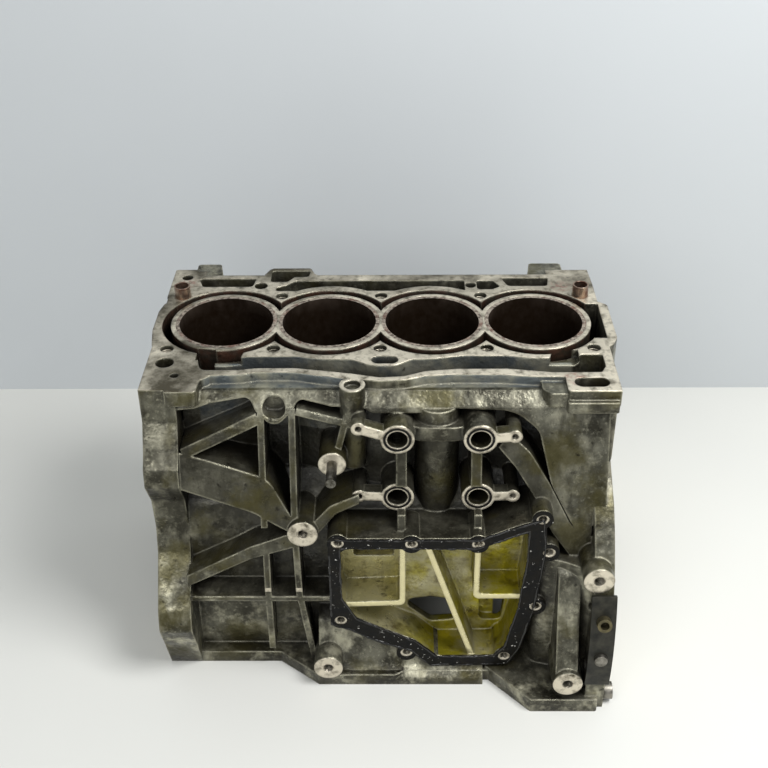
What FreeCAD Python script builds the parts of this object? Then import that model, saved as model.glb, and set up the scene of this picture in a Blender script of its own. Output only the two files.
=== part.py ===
import FreeCAD, Part
import Sketcher
import math
import os

# Open-deck four-cylinder engine block, millimetres.
# Origin: crankshaft axis at the middle main bearing. +X runs along the crankshaft to the gearbox
# end, +Y to the rear (exhaust) side, +Z up the cylinders. The front (intake) side faces -Y.

SIZES = {
    # cylinders and crankshaft line
    "bore_radius": 37.25,
    "bore_pitch": 82.0,
    "deck_height": 208.0,
    "base_depth": 52.0,
    "liner_wall": 3.0,
    "liner_length": 134.0,
    "bore_end": 40.0,
    "barrel_wall": 3.75,
    "jacket_gap": 7.0,
    "jacket_depth": 88.0,
    "end_jacket_gap": 9.5,
    "end_jacket_half_width": 27.0,
    "main_bore_radius": 26.0,
    "bearing_width": 20.0,
    "end_land": 2.0,
    "bay_radius": 71.0,
    # main bearing caps and their bolts
    "cap_width": 92.0,
    "cap_height": 40.0,
    "cap_register": 6.0,
    "cap_clearance": 0.05,
    "cap_bolt_spread": 36.5,
    "cap_bolt_radius": 5.0,
    "cap_bolt_clearance": 0.4,
    "cap_bolt_length": 88.0,
    "cap_bolt_head_radius": 8.0,
    "cap_bolt_head_height": 9.0,
    # deck face
    "deck_plate": 13.0,
    "head_bolt_spread": 41.4,
    "head_bolt_radius": 5.2,
    "head_bolt_depth": 110.0,
    "channel_depth": 45.0,
    "bridge_drop": 7.0,
    "deck_slot_depth": 60.0,
    "rear_slot_depth": 50.0,
    "front_lip": 8.0,
    "head_sleeve_radius": 6.5,
    "head_sleeve_wall": 1.1,
    "head_sleeve_length": 22.0,
    "head_sleeve_stand": 10.0,
    # crankcase walls
    "front_wall": 106.0,
    "rear_wall": 84.0,
    "rear_rail": 92.0,
    "rear_rail_edge": 78.0,
    "rear_rib": 4.0,
    "case_wall": 8.0,
    "upper_floor": 90.0,
    "pan_rail": 11.0,
    # end flanges
    "timing_flange": 26.0,
    "gearbox_flange": 15.0,
    "gearbox_flange_radius": 168.0,
    "gearbox_bolt_circle": 157.0,
    "gearbox_bolt_radius": 5.25,
    "gearbox_dowel_radius": 7.0,
    "gearbox_dowel_seat": 7.4,
    "gearbox_dowel_wall": 1.5,
    "gearbox_dowel_length": 18.0,
    "gearbox_dowel_stand": 8.0,
    "seal_seat_radius": 44.0,
    "seal_seat_depth": 3.0,
    "gallery_radius": 6.0,
    "gallery_height": 86.0,
    "gallery_offset": 60.0,
    "plug_length": 10.0,
    # breather box on the front wall
    "breather_face": 135.0,
    "breather_depth": 30.0,
    "breather_screw_radius": 3.2,
    "breather_screw_depth": 16.0,
    "breather_boss_radius": 8.0,
    "breather_bare_radius": 4.9,
    "baffle_wall": 4.5,
    "sealant_height": 1.2,
    # ports
    "port_face": 115.0,
    "port_radius": 12.6,
    "port_bore": 7.6,
    "port_groove": 10.3,
    "port_lip": 8.7,
    "port_groove_depth": 5.0,
    "port_depth": 34.0,
    "seal_stand": 0.4,
    "ear_radius": 5.4,
    "ear_screw_radius": 2.5,
    "ear_screw_depth": 16.0,
    # brackets' bosses and the sensor stud
    "mount_boss_radius": 11.6,
    "mount_screw_radius": 4.25,
    "mount_screw_depth": 26.0,
    "stud_boss_radius": 10.4,
    "stud_boss_face": 115.0,
    "stud_radius": 3.9,
    "stud_root_radius": 3.4,
    "stud_stand": 23.0,
    "stud_grip": 14.0,
    # black bracket on the gearbox flange
    "bracket_thickness": 3.5,
    "bracket_width": 19.0,
    "bracket_bush_radius": 5.6,
    "bracket_bush_bore": 3.4,
    "bracket_bush_stand": 6.0,
    "bracket_bolt_radius": 3.0,
    "bracket_bolt_head": 5.0,
    "rib_wall": 5.0,
}

# Places on the front wall, each an (x, z) pair.
PORTS_DOWN = [(13.0, 33.5), (74.0, 33.5), (13.0, 87.0), (74.0, 87.0)]
EARS_DOWN = [(-15.5, 24.0), (99.0, 31.0), (-16.0, 86.0), (100.0, 86.0)]
UPPER_SCREWS = [(-32.5, 93.0), (23.5, 92.0), (74.0, 92.0), (121.0, 116.0), (128.0, 83.5), (121.0, 28.0)]
LOWER_SCREWS_UP = [(99.0, 25.0), (20.0, 29.0), (-32.0, 65.0)]
SENSOR_STUD_DOWN = (-35.5, 56.0)
# Mounting bosses: x, z and how far forward their faces stand.
MOUNT_BOSSES = [(-59.0, 97.0, 130.0), (-43.0, -31.0, 145.0), (163.5, 75.0, 158.0), (145.5, -20.0, 172.0)]

# Places on the gearbox flange: degrees about the crankshaft from the rear, and (y, z) of the dowels.
GEARBOX_BOLT_ANGLES = [-6.0, 15.0, 38.0, 142.0, 165.0, 186.0]
GEARBOX_DOWELS = [(-157.0, -43.0), (157.0, -43.0)]
# The black bracket: degrees up from the front of the flange.
BRACKET_ANGLES = (-7.5, 21.0)
BUSH_ANGLE = 14.0
BOLT_ANGLE = 2.5

doc = FreeCAD.newDocument("engine_block_document")
sheet = doc.addObject("Spreadsheet::Sheet", "sizes")
for row, (alias, value) in enumerate(SIZES.items(), start=1):
    sheet.set("A%d" % row, alias)
    sheet.set("B%d" % row, str(value))
    sheet.setAlias("B%d" % row, alias)
doc.recompute()


def size(alias):
    """The value of one cell of the sheet."""
    return float(sheet.get(alias))


pitch = size("bore_pitch")
deck = size("deck_height")
base = -size("base_depth")
end = 2 * pitch + size("bearing_width") / 2 + size("end_land")
cylinders = [(i - 1.5) * pitch for i in range(4)]
bearings = [(i - 2) * pitch for i in range(5)]
liner_radius = size("bore_radius") + size("liner_wall")
barrel_radius = liner_radius + size("barrel_wall")
jacket_radius = barrel_radius + size("jacket_gap")
head_row = size("head_bolt_spread")
front = size("front_wall")
inner_front = front - size("case_wall")
inner_rear = size("rear_wall") - size("case_wall")
flange_front = size("gearbox_flange_radius")
PORTS = [(x, deck - down) for x, down in PORTS_DOWN]
EARS = [(x, deck - down) for x, down in EARS_DOWN]
BREATHER_SCREWS = UPPER_SCREWS + [(x, base + up) for x, up in LOWER_SCREWS_UP]
SENSOR_STUD = (SENSOR_STUD_DOWN[0], deck - SENSOR_STUD_DOWN[1])

# The same lengths as expressions on the sheet, for the features that are bound to it.
END = "(2 * sizes.bore_pitch + sizes.bearing_width / 2 + sizes.end_land)"
LINER_RADIUS = "(sizes.bore_radius + sizes.liner_wall)"
BARREL_RADIUS = "(sizes.bore_radius + sizes.liner_wall + sizes.barrel_wall)"


# ---------------------------------------------------------------- sketch geometry
def vec(x, y):
    return FreeCAD.Vector(x, y, 0)


def outline(corners):
    """A closed outline from corners (x, y) or (x, y, r), where r rounds the corner."""
    count = len(corners)
    joints = []
    for i, corner in enumerate(corners):
        here = vec(corner[0], corner[1])
        radius = corner[2] if len(corner) > 2 else 0.0
        before = corners[i - 1]
        after = corners[(i + 1) % count]
        back = vec(before[0], before[1]) - here
        ahead = vec(after[0], after[1]) - here
        half = back.getAngle(ahead) / 2
        straight = abs(half - math.pi / 2) < 0.01
        if radius <= 0 or straight:
            joints.append((here, None, here))
            continue
        reach = min(radius / math.tan(half), 0.48 * back.Length, 0.48 * ahead.Length)
        radius = reach * math.tan(half)
        middle = (back.normalize() + ahead.normalize()).normalize()
        centre = here + middle * (radius / math.sin(half))
        joints.append((here + back * reach, centre - middle * radius, here + ahead * reach))
    parts = []
    for i, (start, mid, finish) in enumerate(joints):
        if mid is not None:
            parts.append(Part.Arc(start, mid, finish))
        following = joints[(i + 1) % count][0]
        if (following - finish).Length > 1e-6:
            parts.append(Part.LineSegment(finish, following))
    return parts


def disc(x, y, radius):
    return [Part.Circle(vec(x, y), FreeCAD.Vector(0, 0, 1), radius)]


def stadium(x1, y1, x2, y2, radius):
    """A slot outline of one radius round a line from (x1, y1) to (x2, y2)."""
    run = vec(x2 - x1, y2 - y1).normalize()
    side = FreeCAD.Vector(-run.y, run.x, 0) * radius
    tip = run * radius
    a, b = vec(x1, y1), vec(x2, y2)
    return [
        Part.LineSegment(a + side, b + side),
        Part.Arc(b + side, b + tip, b - side),
        Part.LineSegment(b - side, a - side),
        Part.Arc(a - side, a - tip, a + side),
    ]


def bar(x1, y1, x2, y2, width):
    """A straight rib seen face on."""
    side = FreeCAD.Vector(y1 - y2, x2 - x1, 0).normalize() * (width / 2)
    a, b = vec(x1, y1), vec(x2, y2)
    corners = [a + side, b + side, b - side, a - side]
    return outline([(p.x, p.y) for p in corners])


def ring_of_arcs(centres, radius):
    """The outline of equal circles that overlap in a row along x."""
    reach = math.sqrt(max(radius ** 2 - (pitch / 2) ** 2, 0.01))
    parts = []
    for i, x in enumerate(centres):
        first, last = i == 0, i == len(centres) - 1
        left = vec(x - radius, 0) if first else vec(x - pitch / 2, reach)
        right = vec(x + radius, 0) if last else vec(x + pitch / 2, reach)
        for side in (1, -1):
            a, b = vec(left.x, left.y * side), vec(right.x, right.y * side)
            away = vec(x, 0)
            middle = (a + b) * 0.5 - away
            if first or last:
                middle = vec(x + (radius - pitch / 2) / -2 if first else x + (radius - pitch / 2) / 2, radius) - away
            middle = vec(middle.x, abs(middle.y) * side).normalize() * radius
            parts.append(Part.Arc(a, away + middle, b))
    return parts


# ---------------------------------------------------------------- features
# Each role gives a sketch plane: its turn, the axis its offset runs along and that axis's sign.
ROLES = {
    "XY": (FreeCAD.Rotation(), "z", ""),
    "XZ": (FreeCAD.Rotation(vec(1, 0), 90), "y", "-1 * "),
    "YZ": (FreeCAD.Rotation(FreeCAD.Vector(1, 1, 1), 120), "x", ""),
}


def bind_circles(made, radius):
    """Hold every circle of a sketch at its centre and tie its radius to the sheet."""
    for i, shape in enumerate(made.Geometry):
        if shape.TypeId == "Part::GeomCircle":
            made.addConstraint(Sketcher.Constraint("DistanceX", -1, 1, i, 3, shape.Center.x))
            made.addConstraint(Sketcher.Constraint("DistanceY", -1, 1, i, 3, shape.Center.y))
            held = made.addConstraint(Sketcher.Constraint("Radius", i, shape.Radius))
            made.setExpression("Constraints[%d]" % held, radius)


def prism(name, role, offset, loops, length, backward=False, radius=None):
    """A sketch on a plane moved by one expression, extruded by another."""
    turn, axis, sign = ROLES[role]
    made = doc.addObject("Sketcher::SketchObject", name + "_sketch")
    made.Placement = FreeCAD.Placement(FreeCAD.Vector(), turn)
    made.setExpression("Placement.Base." + axis, "%s(%s)" % (sign, offset))
    for loop in loops:
        made.addGeometry(loop, False)
    if radius:
        bind_circles(made, radius)
    solid = doc.addObject("Part::Extrusion", name)
    solid.Base = made
    solid.DirMode = "Normal"
    solid.Solid = True
    solid.FaceMakerClass = "Part::FaceMakerBullseye"
    solid.Reversed = backward
    solid.setExpression("LengthFwd", length)
    return solid


def union(name, items):
    made = doc.addObject("Part::MultiFuse", name)
    made.Shapes = items
    made.Refine = False
    return made


def difference(name, whole, tool):
    made = doc.addObject("Part::Cut", name)
    made.Base = whole
    made.Tool = tool
    made.Refine = False
    return made


# ---------------------------------------------------------------- the casting
def front_rim():
    """The wavy front edge of the cylinder block, from left to right."""
    return [
        (-end + 34, -80.0, 6), (-104, -78.0, 12), (-92, -75.0, 12), (-64, -75.0, 12), (-46, -79.5, 12),
        (-22, -84.0, 14), (0, -87.0, 18), (18, -86.0, 14), (34, -80.5, 12), (58, -78.5, 12),
        (90, -79.0, 12), (112, -81.5, 12), (end - 30, -82.0, 4),
    ]


def main_walls():
    """The upper prism round the bores and the skirt round the crankshaft."""
    rear = size("rear_rail_edge")
    upper = [(-end, -80.0)] + front_rim() + [(end, -82.0), (end, rear), (-end, rear)]
    top = size("upper_floor") + 32
    skirt = [
        (-78.0, top), (-98.0, top - 20, 12), (-front, top - 44, 20), (-front, base),
        (size("rear_wall"), base), (size("rear_wall"), 40.0, 30), (rear, top - 14, 10), (rear, top),
    ]
    return [
        prism("cylinder_block", "XY", "sizes.upper_floor", [outline(upper)],
              "sizes.deck_height - sizes.upper_floor"),
        prism("crankcase", "YZ", "-1 * " + END, [outline(skirt)], "2 * " + END),
    ]


def front_ribs():
    """The overhanging band under the deck and the ribs of the front wall, trimmed to one sloping surface."""
    wall = size("rib_wall")
    left = -end + size("timing_flange")
    knee = deck - 105
    band = [
        (left - 4, deck - 19), (-137, deck - 17.5), (-125, deck - 14.5, 20), (-96, deck - 11, 8),
        (-91, deck - 20, 6), (-78, deck - 32, 12), (-65, deck - 20, 6), (-60, deck - 12, 8), (-35, deck - 16.5),
        (-25, deck - 16.5, 6), (-18, deck - 13, 6), (-6, deck - 21, 10), (28, deck - 21, 40), (52, deck - 17.5, 60),
        (100, deck - 19.5, 40), (118, deck - 34, 14), (128, deck - 74, 30), (143, 106, 20), (160, 78),
        (end - 6, 86), (end - 6, deck - 8), (left - 4, deck - 8),
    ]
    ribs = [
        [outline(band)],
        [bar(left + 3, deck - 51, -90, deck - 25, 8), bar(-24, deck - 22, -34, deck - 58, wall)],
        [bar(-88, deck - 18, -88, deck - 108, wall), bar(-65, deck - 18, -65, knee - 6, wall)],
        [bar(-62, deck - 20, -14, deck - 31, wall)],
        [outline([(left, deck - 50), (-128, deck - 56, 20), (-84, deck - 70, 20), (-62, knee - 4), (-60, knee - 12),
                  (-96, deck - 96, 40), (left, deck - 78)])],
        [outline([(-52, knee), (-38, deck - 91, 12), (-16, deck - 82), (-16, deck - 89), (-34, deck - 97, 12),
                  (-50, knee - 11)])],
        [outline([(96, deck - 36), (112, deck - 50, 30), (127, deck - 74, 30), (143, 104, 20), (165, 78),
                  (156, 58), (130, 96, 20), (116, deck - 84, 30), (101, deck - 61, 30), (88, deck - 46)])],
        [bar(16, deck - 44, 16, deck - 76, 8), bar(72, deck - 44, 72, deck - 76, 8), bar(-88, 80, -89.5, -30, wall)],
        [outline([(-60, 98), (-100, 82, 20), (left - 1, 54), (left - 1, 44), (-100, 71, 20), (-60, 84)])],
        [bar(left - 1, 30, -38, 30, wall)],
        [bar(-65, 90, -64, 30, wall), bar(74, 110, 74, 96, 6), bar(16, 110, 16, 96, 6)],
        [bar(-64, 34, -56, -40, wall)],
    ]
    made = [prism("front_ribs_%d" % (i + 1), "XZ", "70", loops, "90") for i, loops in enumerate(ribs)]
    slope = [
        (-82.0, deck + 1), (-86.0, deck - 6), (-97.0, deck - 17), (-103.0, deck - 33), (-111.0, deck - 58),
        (-126.0, 100.0, 40), (-130.0, 40.0), (-front - 16, base - 1), (-200.0, base - 1), (-200.0, deck + 1),
    ]
    beyond = prism("beyond_ribs", "YZ", "-1 * " + END, [outline(slope)], "2 * " + END)
    column = [disc(43.0, -86.0, 17.0)]
    swell = [stadium(34, -86, 54, -86, 19.0)]
    pillar = [
        (-front, 72), (-140, 66, 10), (-flange_front + 18, 36, 20), (-flange_front, -12, 8),
        (-flange_front, -30), (-front, base),
    ]
    return [
        difference("trimmed_ribs", union("front_ribs", made), beyond),
        prism("port_column", "XY", "sizes.deck_height - 113", column, "95"),
        prism("column_swell", "XY", "sizes.deck_height - 42", swell, "12"),
        prism("boss_pillar", "YZ", "136", [outline(pillar)], "17"),
    ]


def rear_ribs():
    """Plain upright ribs on the rear wall, one at each main bearing, and one along the block."""
    wall = size("rib_wall")
    uprights = [bar(x, 8, x, deck - 16, wall) for x in bearings[1:-1]]
    along = [bar(-end + 20, 104, end - 30, 104, wall)]
    reach = "sizes.rear_wall + sizes.rear_rib"
    return [
        prism("rear_uprights", "XZ", "-1 * (%s)" % reach, uprights, "24"),
        prism("rear_long_rib", "XZ", "-1 * (%s) + 1" % reach, along, "24"),
    ]


def timing_flange():
    """The belt-end flange, a thick frame whose front edge swells beside the crankshaft."""
    rail = size("rear_rail")
    section = [
        (-99, deck), (-99, 180, 8), (-110, 159, 8), (-118, 148, 4), (-120, 134, 4), (-107, 112, 10),
        (-104, 84, 14), (-110, 62, 14), (-137, 22, 12), (-141, 6, 10), (-130, -20, 20), (-117.5, base),
        (rail, base), (rail, 30, 30), (80, 110, 20), (86, deck),
    ]
    return [prism("timing_flange", "YZ", "-1 * " + END, [outline(section)], "sizes.timing_flange")]


def gearbox_flange():
    """The bell-housing flange: an arc about the crankshaft, square at the pan face."""
    r = size("gearbox_flange_radius")
    top, mid, low = [vec(-r * math.cos(math.radians(a)), r * math.sin(math.radians(a))) for a in (44, 18, -8)]
    rear_top, rear_mid, rear_low = [vec(-p.x, p.y) for p in (top, mid, low)]
    foot = [low, vec(low.x, base), vec(-low.x, base), rear_low]
    climb = [rear_top, vec(90, 150), vec(86, deck), vec(-92, deck), vec(-92, 152), vec(-88, 138), top]
    loop = [Part.LineSegment(a, b) for a, b in zip(foot, foot[1:])]
    loop += [Part.Arc(rear_low, rear_mid, rear_top)]
    loop += [Part.LineSegment(a, b) for a, b in zip(climb, climb[1:])]
    loop += [Part.Arc(top, mid, low)]
    post = [(-92, deck), (-92, 140, 10), (-80, 120), (80, 120), (86, deck)]
    gusset = [
        (108, -front + 20), (110, -front - 6, 10), (122, -130, 14), (138, -134, 20), (150, -140, 16),
        (end - 13, -flange_front + 18, 4), (end - 5, -flange_front + 18), (end - 5, -front + 20),
    ]
    rear_gusset = [
        (120, 70), (120, size("rear_rail")), (140, 104, 20), (end - 12, 150, 6), (end - 5, 150), (end - 5, 70),
    ]
    foot = [
        (84, -front + 4), (84, -size("breather_face")), (118, -r - 3, 3), (end - 5, -r - 3, 2),
        (end - 5, -front + 4),
    ]
    down = "-1 * sizes.base_depth"
    return [
        prism("gearbox_flange", "YZ", END, [loop], "sizes.gearbox_flange", backward=True),
        prism("flange_post", "YZ", END, [outline(post)], "36", backward=True),
        prism("flange_gusset", "XY", down, [outline(gusset)], "sizes.base_depth + 74"),
        prism("rear_gusset", "XY", down, [outline(rear_gusset)], "sizes.base_depth + 40"),
        prism("flange_foot", "XY", down, [outline(foot)], "13"),
    ]


def pan_rail():
    """The flange round the open underside."""
    rail = size("rear_rail")
    outer = [
        (-end, -117.5), (-84, -117.5, 2), (-51, -143, 2), (11, -143, 2), (20, -138, 2), (90, -138),
        (90, -front), (end - 5, -front), (end - 5, rail), (-end, rail),
    ]
    apron = [(-100, 6), (-120, -2, 6), (-134.5, -38.5, 10), (-143, -46, 4), (-143, base), (-100, base)]
    return [
        prism("pan_rail", "XY", "-1 * sizes.base_depth", [outline(outer)], "sizes.pan_rail"),
        prism("front_apron", "YZ", "-51", [outline(apron)], "133"),
    ]


def deck_plate():
    """What the machined deck carries outside the cylinder block's own walls."""
    front_left = [(-end, -60), (-end, -98.5), (-157, -98.5), (-157, -101.5), (-134, -101.5, 2), (-133, -86, 6),
                  (-126, -79, 3), (-120, -60)]
    front_right = [(137, -60), (137, -101.5, 3), (end, -101.5), (end, -60)]
    corner_left = [(-end - 1, 40), (-end - 1, 88.5, 2), (-158, 88.5), (-150, 60)]
    corner_right = [(150, 60), (157, 86), (end, 86), (end + 1, 60), (end + 1, 30), (end - 10, 30)]
    lip = [(137, -90), (137, -105.5, 2), (end - 1, -105.5, 2), (end - 1, -90)]
    shelf = [(119.5, -70), (119.5, -92, 3), (125, -99, 4), (138, -99), (138, -70)]
    bulge_left = [(-end + 20, 34), (-end - 1, 30, 4), (-end - 4, 16, 16), (-end - 4, -14, 16),
                  (-end - 0.5, -38, 4), (-end + 20, -38)]
    bulge_right = [(end - 20, 30), (end + 2, 30, 2), (end + 8, 25, 4), (end + 8, -27, 6), (end + 4, -36, 4),
                   (end, -40), (end - 20, -40)]
    tower = [(-100, 70), (-100, 78, 3), (-96, 88, 3), (-93, 90.5, 3), (-61, 90.5, 3), (-57, 80, 3), (-53, 77),
             (-53, 70)]
    lug_left = [(-160, 60), (-160, 104, 3), (-140, 104, 3), (-135, 78, 4), (-135, 60)]
    lug_right = [(124, 60), (124, 78, 4), (128, 104, 3), (155, 104, 3), (157, 60)]
    top = "sizes.deck_height"
    return [
        prism("deck_corners", "XY", top,
              [outline(front_left), outline(front_right), outline(corner_left), outline(corner_right)],
              "sizes.deck_plate", backward=True),
        prism("front_lip", "XY", top + " - sizes.front_lip", [outline(lip)], "9", backward=True),
        prism("front_shelf", "XY", top + " - 4", [outline(shelf)], "12", backward=True),
        prism("jacket_bulges", "XY", top, [outline(bulge_left), outline(bulge_right)],
              "sizes.jacket_depth + 8", backward=True),
        prism("breather_tower", "XY", top, [outline(tower)], "80", backward=True),
        prism("rear_lugs", "XY", top + " - 3", [outline(lug_left), outline(lug_right)], "26", backward=True),
        prism("deck_boss", "XY", top, [disc(-20.0, -92.0, 9.6)], "70", backward=True),
    ]


def breather_outer():
    return [
        (-40, 97, 6), (76, 97, 10), (104, 110, 8), (124, 117, 8), (126, 84, 10), (121, 28, 10),
        (112, base + 36, 8), (103, base + 16, 8), (40, base + 14, 10), (24, base + 30, 10), (-8, base + 44, 14),
        (-26, base + 55, 8), (-40, base + 60, 6),
    ]


def breather_inner():
    return [
        (-31, 88, 4), (76, 88, 8), (102, 101, 6), (112, 105, 5), (112, 74, 8), (108, 28, 8), (99, base + 36, 8),
        (90, base + 25, 6), (45, base + 24, 8), (27, base + 42, 10), (-2, base + 57, 12), (-20, base + 67, 8),
        (-31, 36, 6),
    ]


def front_bosses():
    """The breather box and every round pad of the front wall, each grown to its own face."""
    made = [prism("breather_box", "XZ", "90", [outline(breather_outer())], "sizes.breather_face - 90")]
    for i, (x, z, face) in enumerate(MOUNT_BOSSES):
        made.append(prism("mount_boss_%d" % (i + 1), "XZ", str(face),
                          [disc(x, z, size("mount_boss_radius"))], "%g - sizes.front_wall + 20" % face,
                          backward=True, radius="sizes.mount_boss_radius"))
    face = "sizes.port_face"
    made.append(prism("stud_boss", "XZ", "sizes.stud_boss_face", [disc(*SENSOR_STUD, size("stud_boss_radius"))],
                      "40", backward=True, radius="sizes.stud_boss_radius"))
    made.append(prism("port_bosses", "XZ", face, [disc(x, z, size("port_radius")) for x, z in PORTS],
                      "42", backward=True, radius="sizes.port_radius"))
    arms = [stadium(ex, ez, px, pz, 4.0) for (ex, ez), (px, pz) in zip(EARS, PORTS)]
    made.append(prism("port_arms", "XZ", face, arms, "10", backward=True))
    made.append(prism("port_ears", "XZ", face, [disc(x, z, size("ear_radius")) for x, z in EARS],
                      "42", backward=True, radius="sizes.ear_radius"))
    return made


def screw_boss_rings():
    """The nine screw bosses of the breather flange, which stand into its opening."""
    rings = []
    for x, z in BREATHER_SCREWS:
        rings += [disc(x, z, size("breather_boss_radius")), disc(x, z, size("breather_screw_radius"))]
    sink = "sizes.breather_screw_depth"
    floors = [disc(x, z, size("breather_boss_radius")) for x, z in BREATHER_SCREWS]
    return [
        prism("breather_screw_bosses", "XZ", "sizes.breather_face", rings, sink, backward=True),
        prism("breather_boss_roots", "XZ", "sizes.breather_face - " + sink, floors,
              "sizes.breather_depth - %s" % sink, backward=True, radius="sizes.breather_boss_radius"),
    ]


def water_jacket():
    """The open jacket round the siamesed barrels, and the wider gap at the gearbox end."""
    outer = ring_of_arcs(cylinders, jacket_radius)
    inner = ring_of_arcs(cylinders, barrel_radius)
    half = size("end_jacket_half_width")
    middle = cylinders[-1]
    reach = math.sqrt(barrel_radius ** 2 - half ** 2)
    top, low = vec(middle + reach, half), vec(middle + reach, -half)
    far = middle + barrel_radius + size("end_jacket_gap")
    gap = [
        Part.Arc(top, vec(middle + barrel_radius, 0), low),
        Part.LineSegment(low, vec(far, -half)),
        Part.LineSegment(vec(far, -half), vec(far, half)),
        Part.LineSegment(vec(far, half), top),
    ]
    return [
        prism("water_jacket", "XY", "sizes.deck_height", [outer, inner], "sizes.jacket_depth", backward=True),
        prism("end_jacket", "XY", "sizes.deck_height", [gap], "sizes.jacket_depth", backward=True),
    ]


def deck_cut(name, loops, length, radius=None):
    return prism(name, "XY", "sizes.deck_height", loops, length, backward=True, radius=radius)


def front_channel():
    """The coolant channel along the front of the deck, and the gate that feeds the first cylinder."""
    channel = [
        (-139, -56, 3), (-118, -56.5, 6), (-100, -53, 10), (-66, -52.5, 12), (-44, -56.5, 14), (-22, -57, 10),
        (-10, -64, 8), (0, -66.5, 10), (12, -66, 8), (24, -57.5, 10), (42, -56.5, 10), (62, -52.5, 12),
        (96, -52.5, 12), (116, -56, 10), (148, -56, 2), (153, -51, 3), (169, -51, 2), (169, -68, 3), (165, -76, 2),
        (128, -76, 10), (96, -71, 14), (58, -71, 14), (34, -74, 14), (18, -81, 12), (0, -82.5, 14), (-22, -77, 14),
        (-46, -72.5, 12), (-64, -69.5, 12), (-92, -69.5, 12), (-106, -72, 12), (-134, -72, 6),
    ]
    gate = [(-140, -58), (-140, -40), (-126, -42), (-126, -58)]
    bridges = [outline([(128, -58), (130, -50), (151, -44), (151, -58)]),
               outline([(-127, -58), (-127, -44), (-104, -46), (-106, -56)])]
    return [
        deck_cut("front_channel", [outline(channel)], "sizes.channel_depth"),
        deck_cut("channel_gate", [outline(gate)], "sizes.channel_depth"),
        deck_cut("channel_bridges", bridges, "sizes.bridge_drop"),
    ]


def deck_openings():
    """Oil returns, breather shafts and drain slots in the deck."""
    long_slot = [(-88, 50, 2), (70, 50, 2), (70, 68, 3), (-72, 68, 4), (-80, 60, 3), (-88, 56, 2)]
    arrow = [(80, 52, 3), (93, 52, 2), (99.5, 57, 2), (94, 67, 3), (80, 67, 2)]
    tower = [(-94, 66, 3), (-79, 66, 4), (-74, 74.5, 3), (-62, 75, 3), (-60.5, 86, 3), (-94, 86.5, 3)]
    left_slot = [(-155, 72, 2), (-150, 57.5, 3), (-108, 57.5, 4), (-106, 72, 2)]
    right_slot = [(101, 72, 2), (106, 57.5, 4), (139, 57.5, 3), (141, 72, 2)]
    drain = stadium(149, -89.5, 162.5, -89.5, 6.2)
    front_slot = stadium(-1.3, -58, 8.6, -58, 5.3)
    guard = prism("jacket_guard", "XY", "sizes.upper_floor", [ring_of_arcs(cylinders, jacket_radius + 7)],
                  "sizes.deck_height")
    oil_return = deck_cut("rear_slot", [outline(long_slot)], "sizes.rear_slot_depth")
    holes = [disc(-162.5, -61.5, 7.0), disc(-152.5, -79.0, 3.4), disc(-101, 59, 5.5), disc(-165, 74, 4.6),
             disc(75, 59.5, 4.6)]
    return [
        difference("rear_oil_return", oil_return, guard),
        deck_cut("rear_slots", [outline(arrow), outline(left_slot), outline(right_slot)], "sizes.rear_slot_depth"),
        deck_cut("deck_shafts", [outline(tower), drain, front_slot], "sizes.deck_slot_depth"),
        deck_cut("deck_holes", holes, "40"),
        deck_cut("deck_boss_recess", [disc(-20, -92.5, 6.2)], "4"),
    ]


def cylinder_bores():
    """Seats for the liners, run on below them to scallop the bearing walls for the pistons."""
    seats = [disc(x, 0, liner_radius) for x in cylinders]
    return [deck_cut("cylinder_bores", seats, "sizes.deck_height - sizes.bore_end", radius=LINER_RADIUS)]


def head_bolts():
    places = [disc(x, y, size("head_bolt_radius")) for x in bearings for y in (-head_row, head_row)]
    corners = [disc(x, head_row, size("head_sleeve_radius")) for x in (bearings[0], bearings[-1])]
    return [
        deck_cut("head_bolt_holes", places, "sizes.head_bolt_depth", radius="sizes.head_bolt_radius"),
        deck_cut("head_sleeve_seats", corners, "sizes.head_sleeve_length - sizes.head_sleeve_stand",
                 radius="sizes.head_sleeve_radius"),
    ]


def crank_bays():
    """The four open bays between the main bearing walls, and the saddles for the caps."""
    r = size("bay_radius")
    rise = math.sqrt(r ** 2 - 40.0 ** 2)
    bay = [
        (-inner_front, base - 1), (-inner_front, 44, 24), (-74, rise + 4, 20), (-40, rise + 10, 10),
        (40, rise + 10, 10), (64, rise - 6, 16), (inner_rear, 20, 20), (inner_rear, base - 1),
    ]
    made = []
    for i in range(len(cylinders)):
        start = "%d * sizes.bore_pitch + sizes.bearing_width / 2" % (i - 2)
        made.append(prism("crank_bay_%d" % (i + 1), "YZ", start, [outline(bay)],
                          "sizes.bore_pitch - sizes.bearing_width"))
    cap = size("cap_width") / 2
    step = -size("cap_register")
    saddle = [
        (-cap, 0), (-cap, step), (-cap - 14, step - 14, 6), (-cap - 18, base - 1), (cap + 18, base - 1),
        (cap + 14, step - 14, 6), (cap, step), (cap, 0),
    ]
    holes = [disc(x, y, size("cap_bolt_radius")) for x in bearings
             for y in (-size("cap_bolt_spread"), size("cap_bolt_spread"))]
    through = "2 * " + END
    made.append(prism("cap_saddles", "YZ", "-1 * " + END, [outline(saddle)], through))
    made.append(prism("main_bearing_line", "YZ", "-1 * " + END, [disc(0, 0, size("main_bore_radius"))],
                      through, radius="sizes.main_bore_radius"))
    made.append(prism("cap_bolt_holes", "XY", "-1 * sizes.cap_height", holes, "sizes.cap_bolt_length + 4",
                      radius="sizes.cap_bolt_radius"))
    return made


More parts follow.
